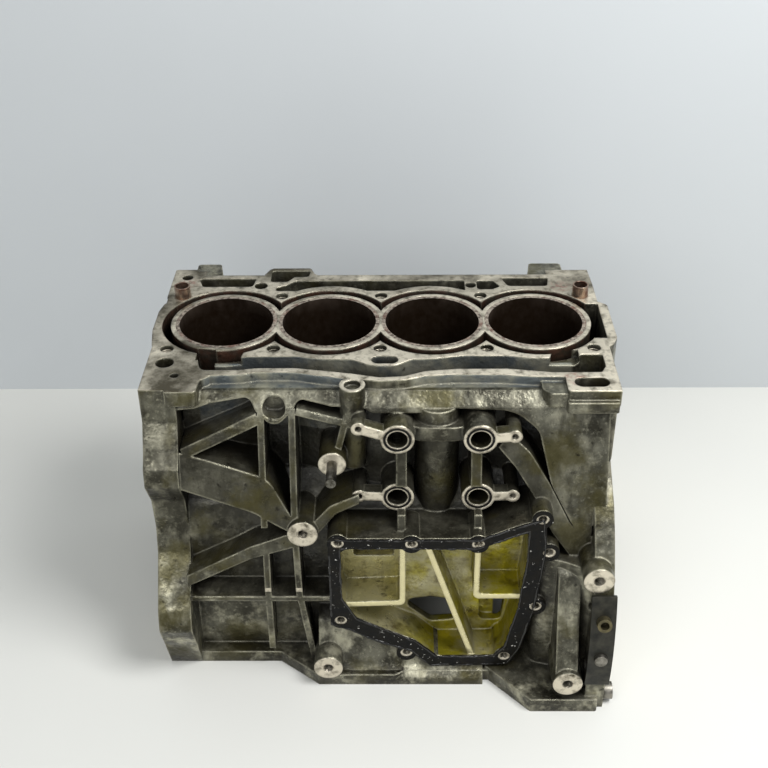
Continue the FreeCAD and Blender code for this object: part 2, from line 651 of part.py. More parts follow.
def breather_opening():
    """The separator chamber and its windows to the crankcase, and the hollow of the apron below."""
    hollow = [(-40, -front + 10), (-40, -133, 6), (74, -129, 6), (74, -front + 10)]
    windows = [
        outline([(-22, 54, 3), (-22, 82, 3), (10, 82, 3), (10, 54, 3)]),
        outline([(14, 6, 6), (40, 10, 6), (60, 6, 6), (62, -16, 6), (40, -18, 6)]),
        outline([(80, 28, 5), (80, -16, 5), (98, -16, 5), (102, 28, 5)]),
    ]
    return [
        prism("apron_hollow", "XY", "-1 * sizes.base_depth", [outline(hollow)], "16"),
        prism("breather_chamber", "XZ", "sizes.breather_face", [outline(breather_inner())],
              "sizes.breather_depth", backward=True),
        prism("breather_windows", "XZ", "sizes.breather_face - sizes.breather_depth", windows,
              "sizes.case_wall", backward=True),
    ]


def oil_baffles():
    """The thin walls inside the breather box that drip the oil back."""
    wall = size("baffle_wall")
    corner_left = [(14.5, 89), (14.5 + wall, 89), (14.5 + wall, 27, 5), (-32, 25), (-32, 25 + wall),
                   (14.5, 27 + wall, 3)]
    corner_right = [(72, 89), (72 + wall, 89), (72 + wall, 34 + wall, 3), (110, 34 + wall), (110, 34),
                    (72, 34, 5)]
    length = "sizes.breather_depth - 1"
    return [
        prism("corner_baffles", "XZ", "sizes.breather_face - 2", [outline(corner_left), outline(corner_right)],
              length, backward=True),
        prism("slanting_baffle", "XZ", "sizes.breather_face - 2", [bar(35, 90, 73, -29, wall)], length,
              backward=True),
    ]


def front_holes():
    """Ports, screw holes and stud hole in the front wall."""
    face = "sizes.port_face"
    oval = [(-86.5, deck - 25, 7), (-86.5, deck - 11, 7), (-69.5, deck - 11, 7), (-69.5, deck - 25, 7)]
    grooves = []
    for x, z in PORTS:
        grooves += [disc(x, z, size("port_groove")), disc(x, z, size("port_lip"))]
    made = [
        prism("port_bores", "XZ", face, [disc(x, z, size("port_bore")) for x, z in PORTS],
              "sizes.port_depth", backward=True, radius="sizes.port_bore"),
        prism("port_grooves", "XZ", face, grooves, "sizes.port_groove_depth", backward=True),
        prism("ear_screw_holes", "XZ", face, [disc(x, z, size("ear_screw_radius")) for x, z in EARS],
              "sizes.ear_screw_depth", backward=True, radius="sizes.ear_screw_radius"),
        prism("breather_screw_holes", "XZ", "sizes.breather_face",
              [disc(x, z, size("breather_screw_radius")) for x, z in BREATHER_SCREWS],
              "sizes.breather_screw_depth", backward=True, radius="sizes.breather_screw_radius"),
        prism("cored_hole", "XZ", "sizes.front_wall + 6", [outline(oval)], "24", backward=True),
        prism("stud_hole", "XZ", "sizes.stud_boss_face", [disc(*SENSOR_STUD, size("stud_root_radius"))],
              "sizes.stud_grip", backward=True, radius="sizes.stud_root_radius"),
    ]
    for i, (x, z, boss) in enumerate(MOUNT_BOSSES):
        made.append(prism("mount_screw_hole_%d" % (i + 1), "XZ", str(boss),
                          [disc(x, z, size("mount_screw_radius"))], "sizes.mount_screw_depth",
                          backward=True, radius="sizes.mount_screw_radius"))
    return made


def gearbox_bolt_places():
    """Bolt holes of the gearbox flange, (y, z), on a circle about the crankshaft."""
    r = size("gearbox_bolt_circle")
    return [(r * math.cos(math.radians(a)), r * math.sin(math.radians(a))) for a in GEARBOX_BOLT_ANGLES]


def end_holes():
    """Holes that run along the block: the flange's bolts and dowels, the oil gallery, the seal seat."""
    bolts = [disc(y, z, size("gearbox_bolt_radius")) for y, z in gearbox_bolt_places()]
    dowels = [disc(y, z, size("gearbox_dowel_seat")) for y, z in GEARBOX_DOWELS]
    place = disc(-size("gallery_offset"), size("gallery_height"), size("gallery_radius"))
    seal = [disc(0, 0, size("seal_seat_radius"))]
    timing_pockets = [
        outline([(-88, 64, 8), (-88, 188, 8), (-62, 188, 8), (-62, 74, 8)]),
        outline([(60, 72, 6), (60, 188, 6), (74, 188, 6), (74, 60, 6)]),
    ]
    return [
        prism("gearbox_bolt_holes", "YZ", END, bolts, "sizes.gearbox_flange + 1", backward=True,
              radius="sizes.gearbox_bolt_radius"),
        prism("gearbox_dowel_holes", "YZ", END, dowels,
              "sizes.gearbox_dowel_length - sizes.gearbox_dowel_stand", backward=True,
              radius="sizes.gearbox_dowel_seat"),
        prism("oil_gallery", "YZ", END, [place], "2 * %s - 12" % END, backward=True,
              radius="sizes.gallery_radius"),
        prism("rear_seal_seat", "YZ", END, [seal[0]], "sizes.seal_seat_depth", backward=True,
              radius="sizes.seal_seat_radius"),
        prism("timing_pockets", "YZ", "-1 * " + END, timing_pockets, "6"),
    ]


def engine_block():
    """The casting: everything that stands, less everything that is open, plus the baffles."""
    standing = main_walls() + front_ribs() + rear_ribs() + timing_flange() + gearbox_flange()
    standing += pan_rail() + deck_plate() + front_bosses()
    open_ways = water_jacket() + front_channel() + deck_openings() + cylinder_bores() + head_bolts()
    open_ways += crank_bays() + breather_opening() + front_holes() + end_holes()
    rough = difference("machined_casting", union("casting_walls", standing), union("open_ways", open_ways))
    return union("engine_block", [rough] + oil_baffles() + screw_boss_rings())


# ---------------------------------------------------------------- the other pieces
def plane(body, role):
    for feature in body.Origin.OriginFeatures:
        if feature.Role == role + "_Plane":
            return feature
    raise ValueError(role)


def new_body(label):
    body = doc.addObject("PartDesign::Body", label)
    body.Label = label
    return body


def body_sketch(body, name, role, offset, loops):
    """A sketch on one of the body's own origin planes, moved along its normal by an expression."""
    made = body.newObject("Sketcher::SketchObject", name + "_sketch")
    made.AttachmentSupport = (plane(body, role), [""])
    made.MapMode = "FlatFace"
    for loop in loops:
        made.addGeometry(loop, False)
    made.setExpression("AttachmentOffset.Base.z", offset)
    return made


def tie_circle(made, index, radius):
    """Hold one circle's centre and tie its radius to the sheet."""
    centre = made.Geometry[index].Center
    made.addConstraint(Sketcher.Constraint("DistanceX", -1, 1, index, 3, centre.x))
    made.addConstraint(Sketcher.Constraint("DistanceY", -1, 1, index, 3, centre.y))
    held = made.addConstraint(Sketcher.Constraint("Radius", index, made.Geometry[index].Radius))
    made.setExpression("Constraints[%d]" % held, radius)


def pad(body, name, profile, length, backward=False):
    feature = body.newObject("PartDesign::Pad", name)
    feature.Profile = profile
    feature.Reversed = backward
    feature.setExpression("Length", length)
    return feature


def pocket(body, name, profile, length, forward=False):
    feature = body.newObject("PartDesign::Pocket", name)
    feature.Profile = profile
    feature.Reversed = forward
    feature.setExpression("Length", length)
    return feature


def tube(label, role, offset, place, outer, inner, length, backward=False):
    """A plain sleeve: two tied circles, padded."""
    body = new_body(label)
    x, y = place
    profile = body_sketch(body, label, role, offset, [disc(x, y, outer[0]), disc(x, y, inner[0])])
    tie_circle(profile, 0, outer[1])
    tie_circle(profile, 1, inner[1])
    pad(body, label + "_pad", profile, length, backward)
    return body


def cylinder_liners():
    made = []
    bore = size("bore_radius")
    for i, x in enumerate(cylinders):
        made.append(tube("cylinder_liner_%d" % (i + 1), "XY", "sizes.deck_height", (x, 0),
                         (liner_radius, LINER_RADIUS), (bore, "sizes.bore_radius"), "sizes.liner_length",
                         backward=True))
    return made


def head_dowel_sleeves():
    made = []
    outer = size("head_sleeve_radius")
    inner = outer - size("head_sleeve_wall")
    for i, x in enumerate((bearings[0], bearings[-1])):
        made.append(tube("head_dowel_sleeve_%d" % (i + 1), "XY", "sizes.deck_height + sizes.head_sleeve_stand",
                         (x, head_row), (outer, "sizes.head_sleeve_radius"),
                         (inner, "sizes.head_sleeve_radius - sizes.head_sleeve_wall"),
                         "sizes.head_sleeve_length", backward=True))
    return made


def gearbox_dowels():
    """Two hollow dowels, a little thicker where they are pressed into the flange."""
    made = []
    stand = END + " + sizes.gearbox_dowel_stand"
    for i, place in enumerate(GEARBOX_DOWELS):
        label = "gearbox_dowel_%d" % (i + 1)
        body = new_body(label)
        nose = body_sketch(body, label + "_nose", "YZ", stand, [disc(*place, size("gearbox_dowel_radius"))])
        tie_circle(nose, 0, "sizes.gearbox_dowel_radius")
        pad(body, label + "_nose_pad", nose, "sizes.gearbox_dowel_stand", backward=True)
        seat = body_sketch(body, label + "_seat", "YZ", END, [disc(*place, size("gearbox_dowel_seat"))])
        tie_circle(seat, 0, "sizes.gearbox_dowel_seat")
        pad(body, label + "_seat_pad", seat, "sizes.gearbox_dowel_length - sizes.gearbox_dowel_stand",
            backward=True)
        bore = body_sketch(body, label + "_bore", "YZ", stand,
                           [disc(*place, size("gearbox_dowel_radius") - size("gearbox_dowel_wall"))])
        tie_circle(bore, 0, "sizes.gearbox_dowel_radius - sizes.gearbox_dowel_wall")
        pocket(body, label + "_bore_cut", bore, "sizes.gearbox_dowel_length")
        made.append(body)
    return made


def port_seals():
    made = []
    for i, place in enumerate(PORTS):
        made.append(tube("port_seal_%d" % (i + 1), "XZ", "sizes.port_face + sizes.seal_stand", place,
                         (size("port_groove"), "sizes.port_groove"), (size("port_lip"), "sizes.port_lip"),
                         "sizes.port_groove_depth + sizes.seal_stand", backward=True))
    return made


def main_bearing_caps():
    """Five iron caps, each registered in its saddle and bored in line with it."""
    made = []
    half = size("cap_width") / 2 - size("cap_clearance")
    low = -size("cap_height")
    step = -size("cap_register")
    bolt = size("cap_bolt_spread")
    bore = size("main_bore_radius")
    for i, x in enumerate(bearings):
        label = "main_bearing_cap_%d" % (i + 1)
        body = new_body(label)
        corners = [
            (half, 0), (half, step - 6, 3), (bolt + 11, low + 8, 6), (bolt + 9.5, low, 2),
            (bolt - 9.5, low, 2), (14, low + 1, 8), (-14, low + 1, 8), (9.5 - bolt, low, 2), (-bolt - 9.5, low, 2),
            (-bolt - 11, low + 8, 6), (-half, step - 6, 3), (-half, 0),
        ]
        start = "%d * sizes.bore_pitch - sizes.bearing_width / 2" % (i - 2)
        profile = body_sketch(body, label, "YZ", start, [outline(corners)])
        pad(body, label + "_pad", profile, "sizes.bearing_width")
        bored = body_sketch(body, label + "_bore", "YZ", start, [disc(0, 0, bore)])
        tie_circle(bored, 0, "sizes.main_bore_radius")
        pocket(body, label + "_bore", bored, "sizes.bearing_width", forward=True)
        radius = size("cap_bolt_radius") + size("cap_bolt_clearance")
        holes = body_sketch(body, label + "_holes", "XY", "0", [disc(x, bolt, radius), disc(x, -bolt, radius)])
        tie_circle(holes, 0, "sizes.cap_bolt_radius + sizes.cap_bolt_clearance")
        tie_circle(holes, 1, "sizes.cap_bolt_radius + sizes.cap_bolt_clearance")
        pocket(body, label + "_holes", holes, "sizes.cap_height + 1")
        made.append(body)
    return made


def hexagon(x, y, across):
    points = []
    for i in range(6):
        turn = math.radians(60 * i)
        points.append((x + across * math.cos(turn), y + across * math.sin(turn)))
    return outline(points)


def main_cap_bolts():
    """Ten alike bolts, heads down, as separate solids of one node."""
    spread = size("cap_bolt_spread")
    places = [(x, y) for x in bearings for y in (-spread, spread)]
    heads = prism("cap_bolt_heads", "XY", "-1 * sizes.cap_height",
                  [hexagon(x, y, size("cap_bolt_head_radius")) for x, y in places],
                  "sizes.cap_bolt_head_height", backward=True)
    shanks = prism("cap_bolt_shanks", "XY", "-1 * sizes.cap_height",
                   [disc(x, y, size("cap_bolt_radius")) for x, y in places],
                   "sizes.cap_bolt_length", radius="sizes.cap_bolt_radius")
    return union("main_cap_bolts", [heads, shanks])


def breather_sealant():
    """The bead of liquid gasket between the breather flange's edge and its opening."""
    band = prism("sealant_band", "XZ", "sizes.breather_face",
                 [outline(breather_outer()), outline(breather_inner())], "sizes.sealant_height")
    rounds = prism("sealant_rounds", "XZ", "sizes.breather_face",
                   [disc(x, z, size("breather_boss_radius")) for x, z in BREATHER_SCREWS],
                   "sizes.sealant_height", radius="sizes.breather_boss_radius")
    bare = prism("bare_bosses", "XZ", "sizes.breather_face",
                 [disc(x, z, size("breather_bare_radius")) for x, z in BREATHER_SCREWS],
                 "sizes.sealant_height", radius="sizes.breather_bare_radius")
    return difference("breather_sealant", union("sealant", [band, rounds]), bare)


def sensor_stud():
    body = new_body("sensor_stud")
    x, z = SENSOR_STUD
    root = body_sketch(body, "stud_root", "XZ", "sizes.stud_boss_face - sizes.stud_grip",
                       [disc(x, z, size("stud_root_radius"))])
    tie_circle(root, 0, "sizes.stud_root_radius")
    pad(body, "stud_root_pad", root, "sizes.stud_grip")
    shank = body_sketch(body, "stud_shank", "XZ", "sizes.stud_boss_face",
                        [disc(x, z, size("stud_radius"))])
    tie_circle(shank, 0, "sizes.stud_radius")
    pad(body, "stud_shank_pad", shank, "sizes.stud_stand")
    return body


def oil_gallery_plug():
    body = new_body("oil_gallery_plug")
    place = disc(-size("gallery_offset"), size("gallery_height"), size("gallery_radius"))
    profile = body_sketch(body, "oil_gallery_plug", "YZ", END, [place])
    tie_circle(profile, 0, "sizes.gallery_radius")
    pad(body, "oil_gallery_plug_pad", profile, "sizes.plug_length", backward=True)
    socket = body_sketch(body, "plug_socket", "YZ", END,
                         [hexagon(-size("gallery_offset"), size("gallery_height"), 3.4)])
    pocket(body, "plug_socket_cut", socket, "5")
    return body


def on_flange(angle, radius):
    """A (y, z) place at an angle up from the front of the gearbox flange."""
    turn = math.radians(angle)
    return vec(-radius * math.cos(turn), radius * math.sin(turn))


def end_bracket():
    """The black steel strap bent round the gearbox flange, with its bush and bolt."""
    inner = size("gearbox_flange_radius")
    outer = inner + size("bracket_thickness")
    low, high = BRACKET_ANGLES
    middle = (low + high) / 2
    loop = [
        Part.Arc(on_flange(low, inner), on_flange(middle, inner), on_flange(high, inner)),
        Part.LineSegment(on_flange(high, inner), on_flange(high, outer)),
        Part.Arc(on_flange(high, outer), on_flange(middle, outer), on_flange(low, outer)),
        Part.LineSegment(on_flange(low, outer), on_flange(low, inner)),
    ]
    strap = prism("bracket_strap", "YZ", END + " - sizes.bracket_width + 2", [loop], "sizes.bracket_width")
    middle_x = end + 2 - size("bracket_width") / 2
    bush_hole = radial("bush_hole", BUSH_ANGLE, middle_x, size("bracket_bush_radius"), inner - 1, outer + 1)
    bolt_hole = radial("bolt_hole", BOLT_ANGLE, middle_x, size("bracket_bolt_radius"), inner - 1, outer + 1)
    return difference("end_bracket", strap, union("bracket_holes", [bush_hole, bolt_hole]))


def radial(name, angle, x, radius, start, stop):
    """A cylinder that points out of the gearbox flange at an angle."""
    made = doc.addObject("Part::Cylinder", name)
    made.Radius = radius
    made.Height = stop - start
    foot = on_flange(angle, start)
    out = on_flange(angle, 1.0)
    turn = FreeCAD.Rotation(FreeCAD.Vector(0, 0, 1), FreeCAD.Vector(0, out.x, out.y))
    made.Placement = FreeCAD.Placement(FreeCAD.Vector(x, foot.x, foot.y), turn)
    return made


def bracket_fittings():
    """The hollow bush of the bracket and the small bolt that holds it."""
    inner = size("gearbox_flange_radius")
    outer = inner + size("bracket_thickness")
    middle_x = end + 2 - size("bracket_width") / 2
    body = radial("bush_body", BUSH_ANGLE, middle_x, size("bracket_bush_radius"), inner,
                  outer + size("bracket_bush_stand"))
    hole = radial("bush_bore", BUSH_ANGLE, middle_x, size("bracket_bush_bore"), inner + 2,
                  outer + size("bracket_bush_stand") + 1)
    bush = difference("bracket_bush", body, hole)
    shank = radial("bracket_bolt_shank", BOLT_ANGLE, middle_x, size("bracket_bolt_radius"), inner, outer)
    head = radial("bracket_bolt_head", BOLT_ANGLE, middle_x, size("bracket_bolt_head"), outer, outer + 3.2)
    return [bush, union("bracket_bolt", [shank, head])]


nodes = [engine_block()]
nodes += cylinder_liners()
nodes += main_bearing_caps()
nodes += [main_cap_bolts()]
nodes += head_dowel_sleeves()
nodes += gearbox_dowels()
nodes += port_seals()
nodes += [breather_sealant(), sensor_stud(), oil_gallery_plug(), end_bracket()]
nodes += bracket_fittings()

doc.recompute()
for item in doc.Objects:
    if "Invalid" in item.State or "Error" in item.State:
        raise RuntimeError("%s did not build: %s" % (item.Label, item.State))
for node in nodes:
    if node.Shape.isNull() or not node.Shape.isValid():
        raise RuntimeError("%s has no valid shape" % node.Label)
os.makedirs("parts", exist_ok=True)
for node in nodes:
    node.Shape.exportStep("parts/%s.step" % node.Label)
    print("%-24s %10.0f mm3, %d solid(s)" % (node.Label, node.Shape.Volume, len(node.Shape.Solids)))
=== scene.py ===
import math

import bpy
from mathutils import Matrix, Vector


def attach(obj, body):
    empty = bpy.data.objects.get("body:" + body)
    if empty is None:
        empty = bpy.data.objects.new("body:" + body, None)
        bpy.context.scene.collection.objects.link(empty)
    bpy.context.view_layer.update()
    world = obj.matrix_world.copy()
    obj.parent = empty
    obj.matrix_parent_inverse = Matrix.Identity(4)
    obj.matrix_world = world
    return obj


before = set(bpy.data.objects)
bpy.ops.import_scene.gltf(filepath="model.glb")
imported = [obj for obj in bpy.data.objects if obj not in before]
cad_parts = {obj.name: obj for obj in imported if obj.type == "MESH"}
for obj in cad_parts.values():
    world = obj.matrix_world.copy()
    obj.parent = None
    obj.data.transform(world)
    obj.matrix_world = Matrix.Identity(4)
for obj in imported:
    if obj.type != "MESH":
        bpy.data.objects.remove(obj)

bl_info = {
    "name": "Engine block finish",
    "version": (1, 0, 0),
    "blender": (4, 5, 0),
    "location": "View3D > Sidebar > Engine block",
    "description": "Finishes, threads, sealant and stage for an open-deck engine block",
    "category": "Object",
}

MM = 0.001

# The casting in millimetres from the middle of the crankshaft's axis, as the CAD pieces have it.
DECK = 208.0
BASE = -52.0
END = 176.0
# Milled faces that look to the front: ports and stud, bosses, separator flange, then the other bosses.
FRONT_FACES = (115.0, 130.0, 135.0, 145.0, 158.0, 172.0)
SEPARATOR_FACE = 135.0
BAFFLE_FACE = 133.0
BORE_PITCH = 82.0
FIRST_CYLINDER = -1.5 * BORE_PITCH
LAST_CYLINDER_INDEX = 3.0
HEAD_BOLT_SPREAD = 41.4
HEAD_BOLT_END = 164.0

# Regions of the casting that have a colour of their own, in millimetres.
UNDER_DECK = DECK - 0.4
JACKET_RADII = (38.0, 51.6)
JACKET_FLOOR = 119.0
CHANNEL_X = (-136.0, 146.0)
CHANNEL_Y = (-84.0, -52.0)
CHANNEL_FLOOR = 160.0
CHAMBER_X = (-33.0, 112.0)
CHAMBER_Z = (-30.0, 90.0)
CHAMBER_CORNER_X = (97.0, 112.0)
CHAMBER_CORNER_Z = (80.0, 104.0)
CHAMBER_Y = (-133.6, -96.0)
CHAMBER_SLOPE = 0.6
STAINED_X = (-162.0, 136.0)
STAINED_Z = (-80.0, 176.0)
PAINT_SPOTS = ((-163.0, 64.0), (150.0, 57.0), (143.0, -84.0))
PAINT_REACH = 11.0
PAINT_CORE = 2.0
HONE_SPACING = 1.6


def linear(code):
    """An sRGB hex colour as linear red, green, blue and alpha."""
    parts = [int(code[i:i + 2], 16) / 255 for i in (1, 3, 5)]
    return tuple(c / 12.92 if c <= 0.04045 else ((c + 0.055) / 1.055) ** 2.4 for c in parts) + (1.0,)


def colour(name, code, description):
    """A colour property with its default from a hex code."""
    return bpy.props.FloatVectorProperty(
        name=name, description=description, subtype="COLOR", size=4, min=0.0, max=1.0, default=linear(code))


def add(tree, kind, inputs=None, **settings):
    """Add a node, set it up, and set or link its inputs."""
    made = tree.nodes.new(kind)
    for name, value in settings.items():
        setattr(made, name, value)
    for key, value in (inputs or {}).items():
        if isinstance(value, bpy.types.NodeSocket):
            tree.links.new(value, made.inputs[key])
        else:
            made.inputs[key].default_value = value
    return made


# ---------------------------------------------------------------- patterns shared by the finishes
def new_material(name):
    """An empty material with its shader and output in place."""
    material = bpy.data.materials.new(name)
    material.use_nodes = True
    tree = material.node_tree
    tree.nodes.clear()
    shader = add(tree, "ShaderNodeBsdfPrincipled")
    add(tree, "ShaderNodeOutputMaterial", {"Surface": shader.outputs["BSDF"]})
    return material, tree, shader


def blotches(tree, size_mm, low, high, detail=4.0, stretch=(1.0, 1.0, 1.0), shift=0.0):
    """A mask of soft-edged blotches of about one size: 0 below one noise level, 1 above another."""
    place = add(tree, "ShaderNodeTexCoord").outputs["Object"]
    moved = add(tree, "ShaderNodeMapping",
                {"Vector": place, "Location": (shift, shift, shift), "Scale": stretch})
    noise = add(tree, "ShaderNodeTexNoise",
                {"Vector": moved.outputs["Vector"], "Scale": 1.0 / (size_mm * MM), "Detail": detail,
                 "Roughness": 0.6})
    ramp = add(tree, "ShaderNodeMapRange",
               {"Value": noise.outputs["Fac"], "From Min": low, "From Max": high})
    return ramp.outputs["Result"]


def blend(tree, factor, first, second):
    """One colour laid over another by a mask."""
    return add(tree, "ShaderNodeMix", {0: factor, 6: first, 7: second}, data_type="RGBA").outputs[2]


def together(tree, operation, *values):
    """Numbers or masks joined one after another by one operation."""
    joined = values[0]
    for value in values[1:]:
        joined = add(tree, "ShaderNodeMath", {0: joined, 1: value}, operation=operation).outputs[0]
    return joined


def where(tree):
    """The place on the piece and the way the surface faces, each as x, y and z."""
    place = add(tree, "ShaderNodeTexCoord").outputs["Object"]
    facing = add(tree, "ShaderNodeNewGeometry").outputs["True Normal"]
    place = add(tree, "ShaderNodeSeparateXYZ", {0: place}).outputs
    facing = add(tree, "ShaderNodeSeparateXYZ", {0: facing}).outputs
    return place, facing


def plane_mask(tree, planes):
    """1 on faces that lie in any of the given planes, each an axis, a side and a distance in millimetres."""
    place, facing = where(tree)
    masks = []
    for axis, side, distance in planes:
        level = add(tree, "ShaderNodeMath", {0: place[axis], 1: side * distance * MM, 2: 0.15 * MM},
                    operation="COMPARE").outputs[0]
        turned = together(tree, "MULTIPLY", facing[axis], float(side))
        masks.append(together(tree, "MULTIPLY", level, together(tree, "GREATER_THAN", turned, 0.98)))
    return together(tree, "MAXIMUM", *masks)


def within(tree, value, low_mm, high_mm, soft_mm=1.0):
    """1 where a place along one axis is between two levels, with soft ends."""
    rise = add(tree, "ShaderNodeMapRange", {"Value": value, "From Min": (low_mm - soft_mm) * MM,
                                            "From Max": (low_mm + soft_mm) * MM}).outputs["Result"]
    fall = add(tree, "ShaderNodeMapRange", {"Value": value, "From Min": (high_mm + soft_mm) * MM,
                                            "From Max": (high_mm - soft_mm) * MM}).outputs["Result"]
    return together(tree, "MULTIPLY", rise, fall)


def bore_distance(tree):
    """The distance to the nearest cylinder's centre line, in metres."""
    place = where(tree)[0]
    shifted = together(tree, "SUBTRACT", place[0], FIRST_CYLINDER * MM)
    nearest = add(tree, "ShaderNodeMath", {0: together(tree, "DIVIDE", shifted, BORE_PITCH * MM)},
                  operation="ROUND").outputs[0]
    nearest = together(tree, "MAXIMUM", together(tree, "MINIMUM", nearest, LAST_CYLINDER_INDEX), 0.0)
    across = together(tree, "SUBTRACT", shifted, together(tree, "MULTIPLY", nearest, BORE_PITCH * MM))
    span = add(tree, "ShaderNodeCombineXYZ", {0: across, 1: place[1]}).outputs[0]
    return add(tree, "ShaderNodeVectorMath", {0: span}, operation="LENGTH").outputs["Value"]


def soft_edge(tree, radius_mm, samples=4):
    """The normal of a surface whose edges are rounded, and how much it is turned there."""
    rounded = add(tree, "ShaderNodeBevel", {"Radius": radius_mm * MM}, samples=samples).outputs[0]
    flat = add(tree, "ShaderNodeNewGeometry").outputs["True Normal"]
    turned = add(tree, "ShaderNodeVectorMath", {0: rounded, 1: flat},
                 operation="DOT_PRODUCT").outputs["Value"]
    edge = add(tree, "ShaderNodeMapRange", {"Value": turned, "From Min": 0.985, "From Max": 0.8})
    return rounded, edge.outputs["Result"]


def hollow_shade_and_dirt(tree, reach_mm, low, high):
    """1 deep in corners and pockets and 0 in the open: painted shade in the hollows, together with the dirt
    that stays there.
    """
    shade = add(tree, "ShaderNodeAmbientOcclusion", {"Distance": reach_mm * MM}, samples=6)
    ramp = add(tree, "ShaderNodeMapRange", {"Value": shade.outputs["AO"], "From Min": high, "From Max": low})
    return ramp.outputs["Result"]


# ---------------------------------------------------------------- finishes
class EngineBlockColours(bpy.types.PropertyGroup):
    cast: colour("Cast skin", "#747264", "Die-cast aluminium where it is bare")
    cast_dark: colour("Stained casting", "#35332a", "Cast skin stained by old oil")
    # Pale casting, and also the colour of painted highlights on the edges and of painted light in the coolant
    # channel.
    pale_cast_and_highlight: colour("Pale casting", "#bdb9a2", "Cast skin that has been rubbed or washed")
    olive: colour("Olive film", "#4a4526", "Yellow-green film of old oil")
    # Clean blue-grey casting, and painted light on the coolant channel's shaded walls.
    washed_and_lit: colour("Washed casting", "#6d7476", "Blue-grey casting that coolant has kept clean")
    # Dirt, and also the colour of the painted shade in the hollows of the casting and of some fittings.
    grime_and_shade: colour("Grime", "#100d07", "Dirt packed into corners")
    scale: colour("Jacket scale", "#4a3f36", "Scale on the water jacket's walls")
    amber: colour("Oil varnish", "#a39a2c", "Yellow varnish of baked oil inside the separator chamber")
    bare_chamber: colour("Chamber wall", "#aca684", "Pale casting inside the separator chamber")
    baked: colour("Baked oil", "#4a3c12", "Brown oil baked on inside the separator chamber")
    cream: colour("Baffle edge", "#d9d0a4", "Cream edge of the oil baffles")
    red: colour("Marking paint", "#8a3a35", "Remains of red marking paint on the deck")
    machined: colour("Machined face", "#dcd3bf", "Milled aluminium, dulled by time")
    gasket: colour("Gasket residue", "#4c4636", "Dark marks that the gasket left on milled faces")
    iron: colour("Cast iron", "#6a6258", "Main bearing caps")
    rim: colour("Liner rim", "#a3988a", "Milled rim of a cast iron liner")
    rust: colour("Rust", "#6a4638", "Thin rust on iron")
    bore: colour("Bore wall", "#20150a", "Bore wall under a film of old oil")
    steel: colour("Steel", "#8f8b82", "Plain steel of bolts and studs")
    sleeve: colour("Dowel steel", "#9c8a7a", "Dowel steel with a warm tarnish")
    brass: colour("Bush", "#6e664a", "Dull brass of the bracket's bush")
    rubber: colour("Rubber", "#131312", "Seals")
    sealant: colour("Sealant", "#050505", "Cured liquid gasket")
    # Painted glints: pale specks on the sealant that stand for highlights.
    painted_glint: colour("Flecks", "#e1dfd7", "Pale flecks that cling to the sealant")
    black: colour("Black steel", "#15150f", "Blackened sheet steel")


def mottled_skin(tree, tints, place):
    """The as-cast surface by itself: mottled, with pale patches that are more common low down, and darker
    higher up.
    """
    skin = blend(tree, blotches(tree, 34, 0.40, 0.60, 7.0), tints.cast_dark, tints.cast)
    low = add(tree, "ShaderNodeMapRange", {"Value": place[2], "From Min": 0.10, "From Max": -0.05})
    pale = together(tree, "MULTIPLY", blotches(tree, 22, 0.50, 0.68, 7.0, shift=3.0),
                    together(tree, "ADD", low.outputs["Result"], 0.55))
    skin = blend(tree, pale, skin, tints.pale_cast_and_highlight)
    salt = together(tree, "MULTIPLY", blotches(tree, 3.2, 0.54, 0.68, 5.0, shift=13.0), 0.35)
    skin = blend(tree, salt, skin, tints.pale_cast_and_highlight)
    streaks = blotches(tree, 9, 0.46, 0.66, 7.0, stretch=(1.0, 1.0, 0.22), shift=17.0)
    skin = blend(tree, together(tree, "MULTIPLY", streaks, 0.7), skin, tints.cast_dark)
    # Darker higher up, across the middle of the block, from the base to the deck.
    upper = add(tree, "ShaderNodeMapRange",
                {"Value": place[2], "From Min": 0.0, "From Max": 0.10, "To Max": 0.72})
    upper = together(tree, "MULTIPLY", upper.outputs["Result"], within(tree, place[2], *STAINED_Z, 10.0),
                     within(tree, place[0], *STAINED_X, 14.0))
    skin = blend(tree, upper, skin, tints.cast_dark)
    grimy = together(tree, "MULTIPLY", blotches(tree, 48, 0.50, 0.62, 6.0, shift=11.0), 0.75)
    return blend(tree, grimy, skin, tints.olive)


def scaled_jacket(tree, tints, place, skin):
    """Rust and scale on the walls of the water jacket round the cylinders."""
    jacket = together(tree, "MULTIPLY", within(tree, bore_distance(tree), *JACKET_RADII, 0.3),
                      within(tree, place[2], JACKET_FLOOR, UNDER_DECK, 0.2))
    scale = blend(tree, blotches(tree, 9, 0.40, 0.60, 5.0), tints.scale, tints.rust)
    return blend(tree, together(tree, "MULTIPLY", jacket, 0.85), skin, scale)


def washed_and_lit_channel(tree, tints, place, skin):
    """Pale blue-grey walls of the coolant channel in the deck, and of the pockets just in front of it: clean
    casting, painted paler to stand for light on walls that lie in shade.
    """
    channel = together(tree, "MULTIPLY", within(tree, place[1], *CHANNEL_Y),
                       within(tree, place[0], *CHANNEL_X),
                       within(tree, place[2], CHANNEL_FLOOR, UNDER_DECK, 0.2))
    washed_and_lit = blend(tree, blotches(tree, 26, 0.40, 0.70, 4.0, shift=8.0), tints.washed_and_lit, tints.pale_cast_and_highlight)
    outside = together(tree, "GREATER_THAN", bore_distance(tree), JACKET_RADII[1] * MM)
    return blend(tree, together(tree, "MULTIPLY", channel, outside), skin, washed_and_lit)


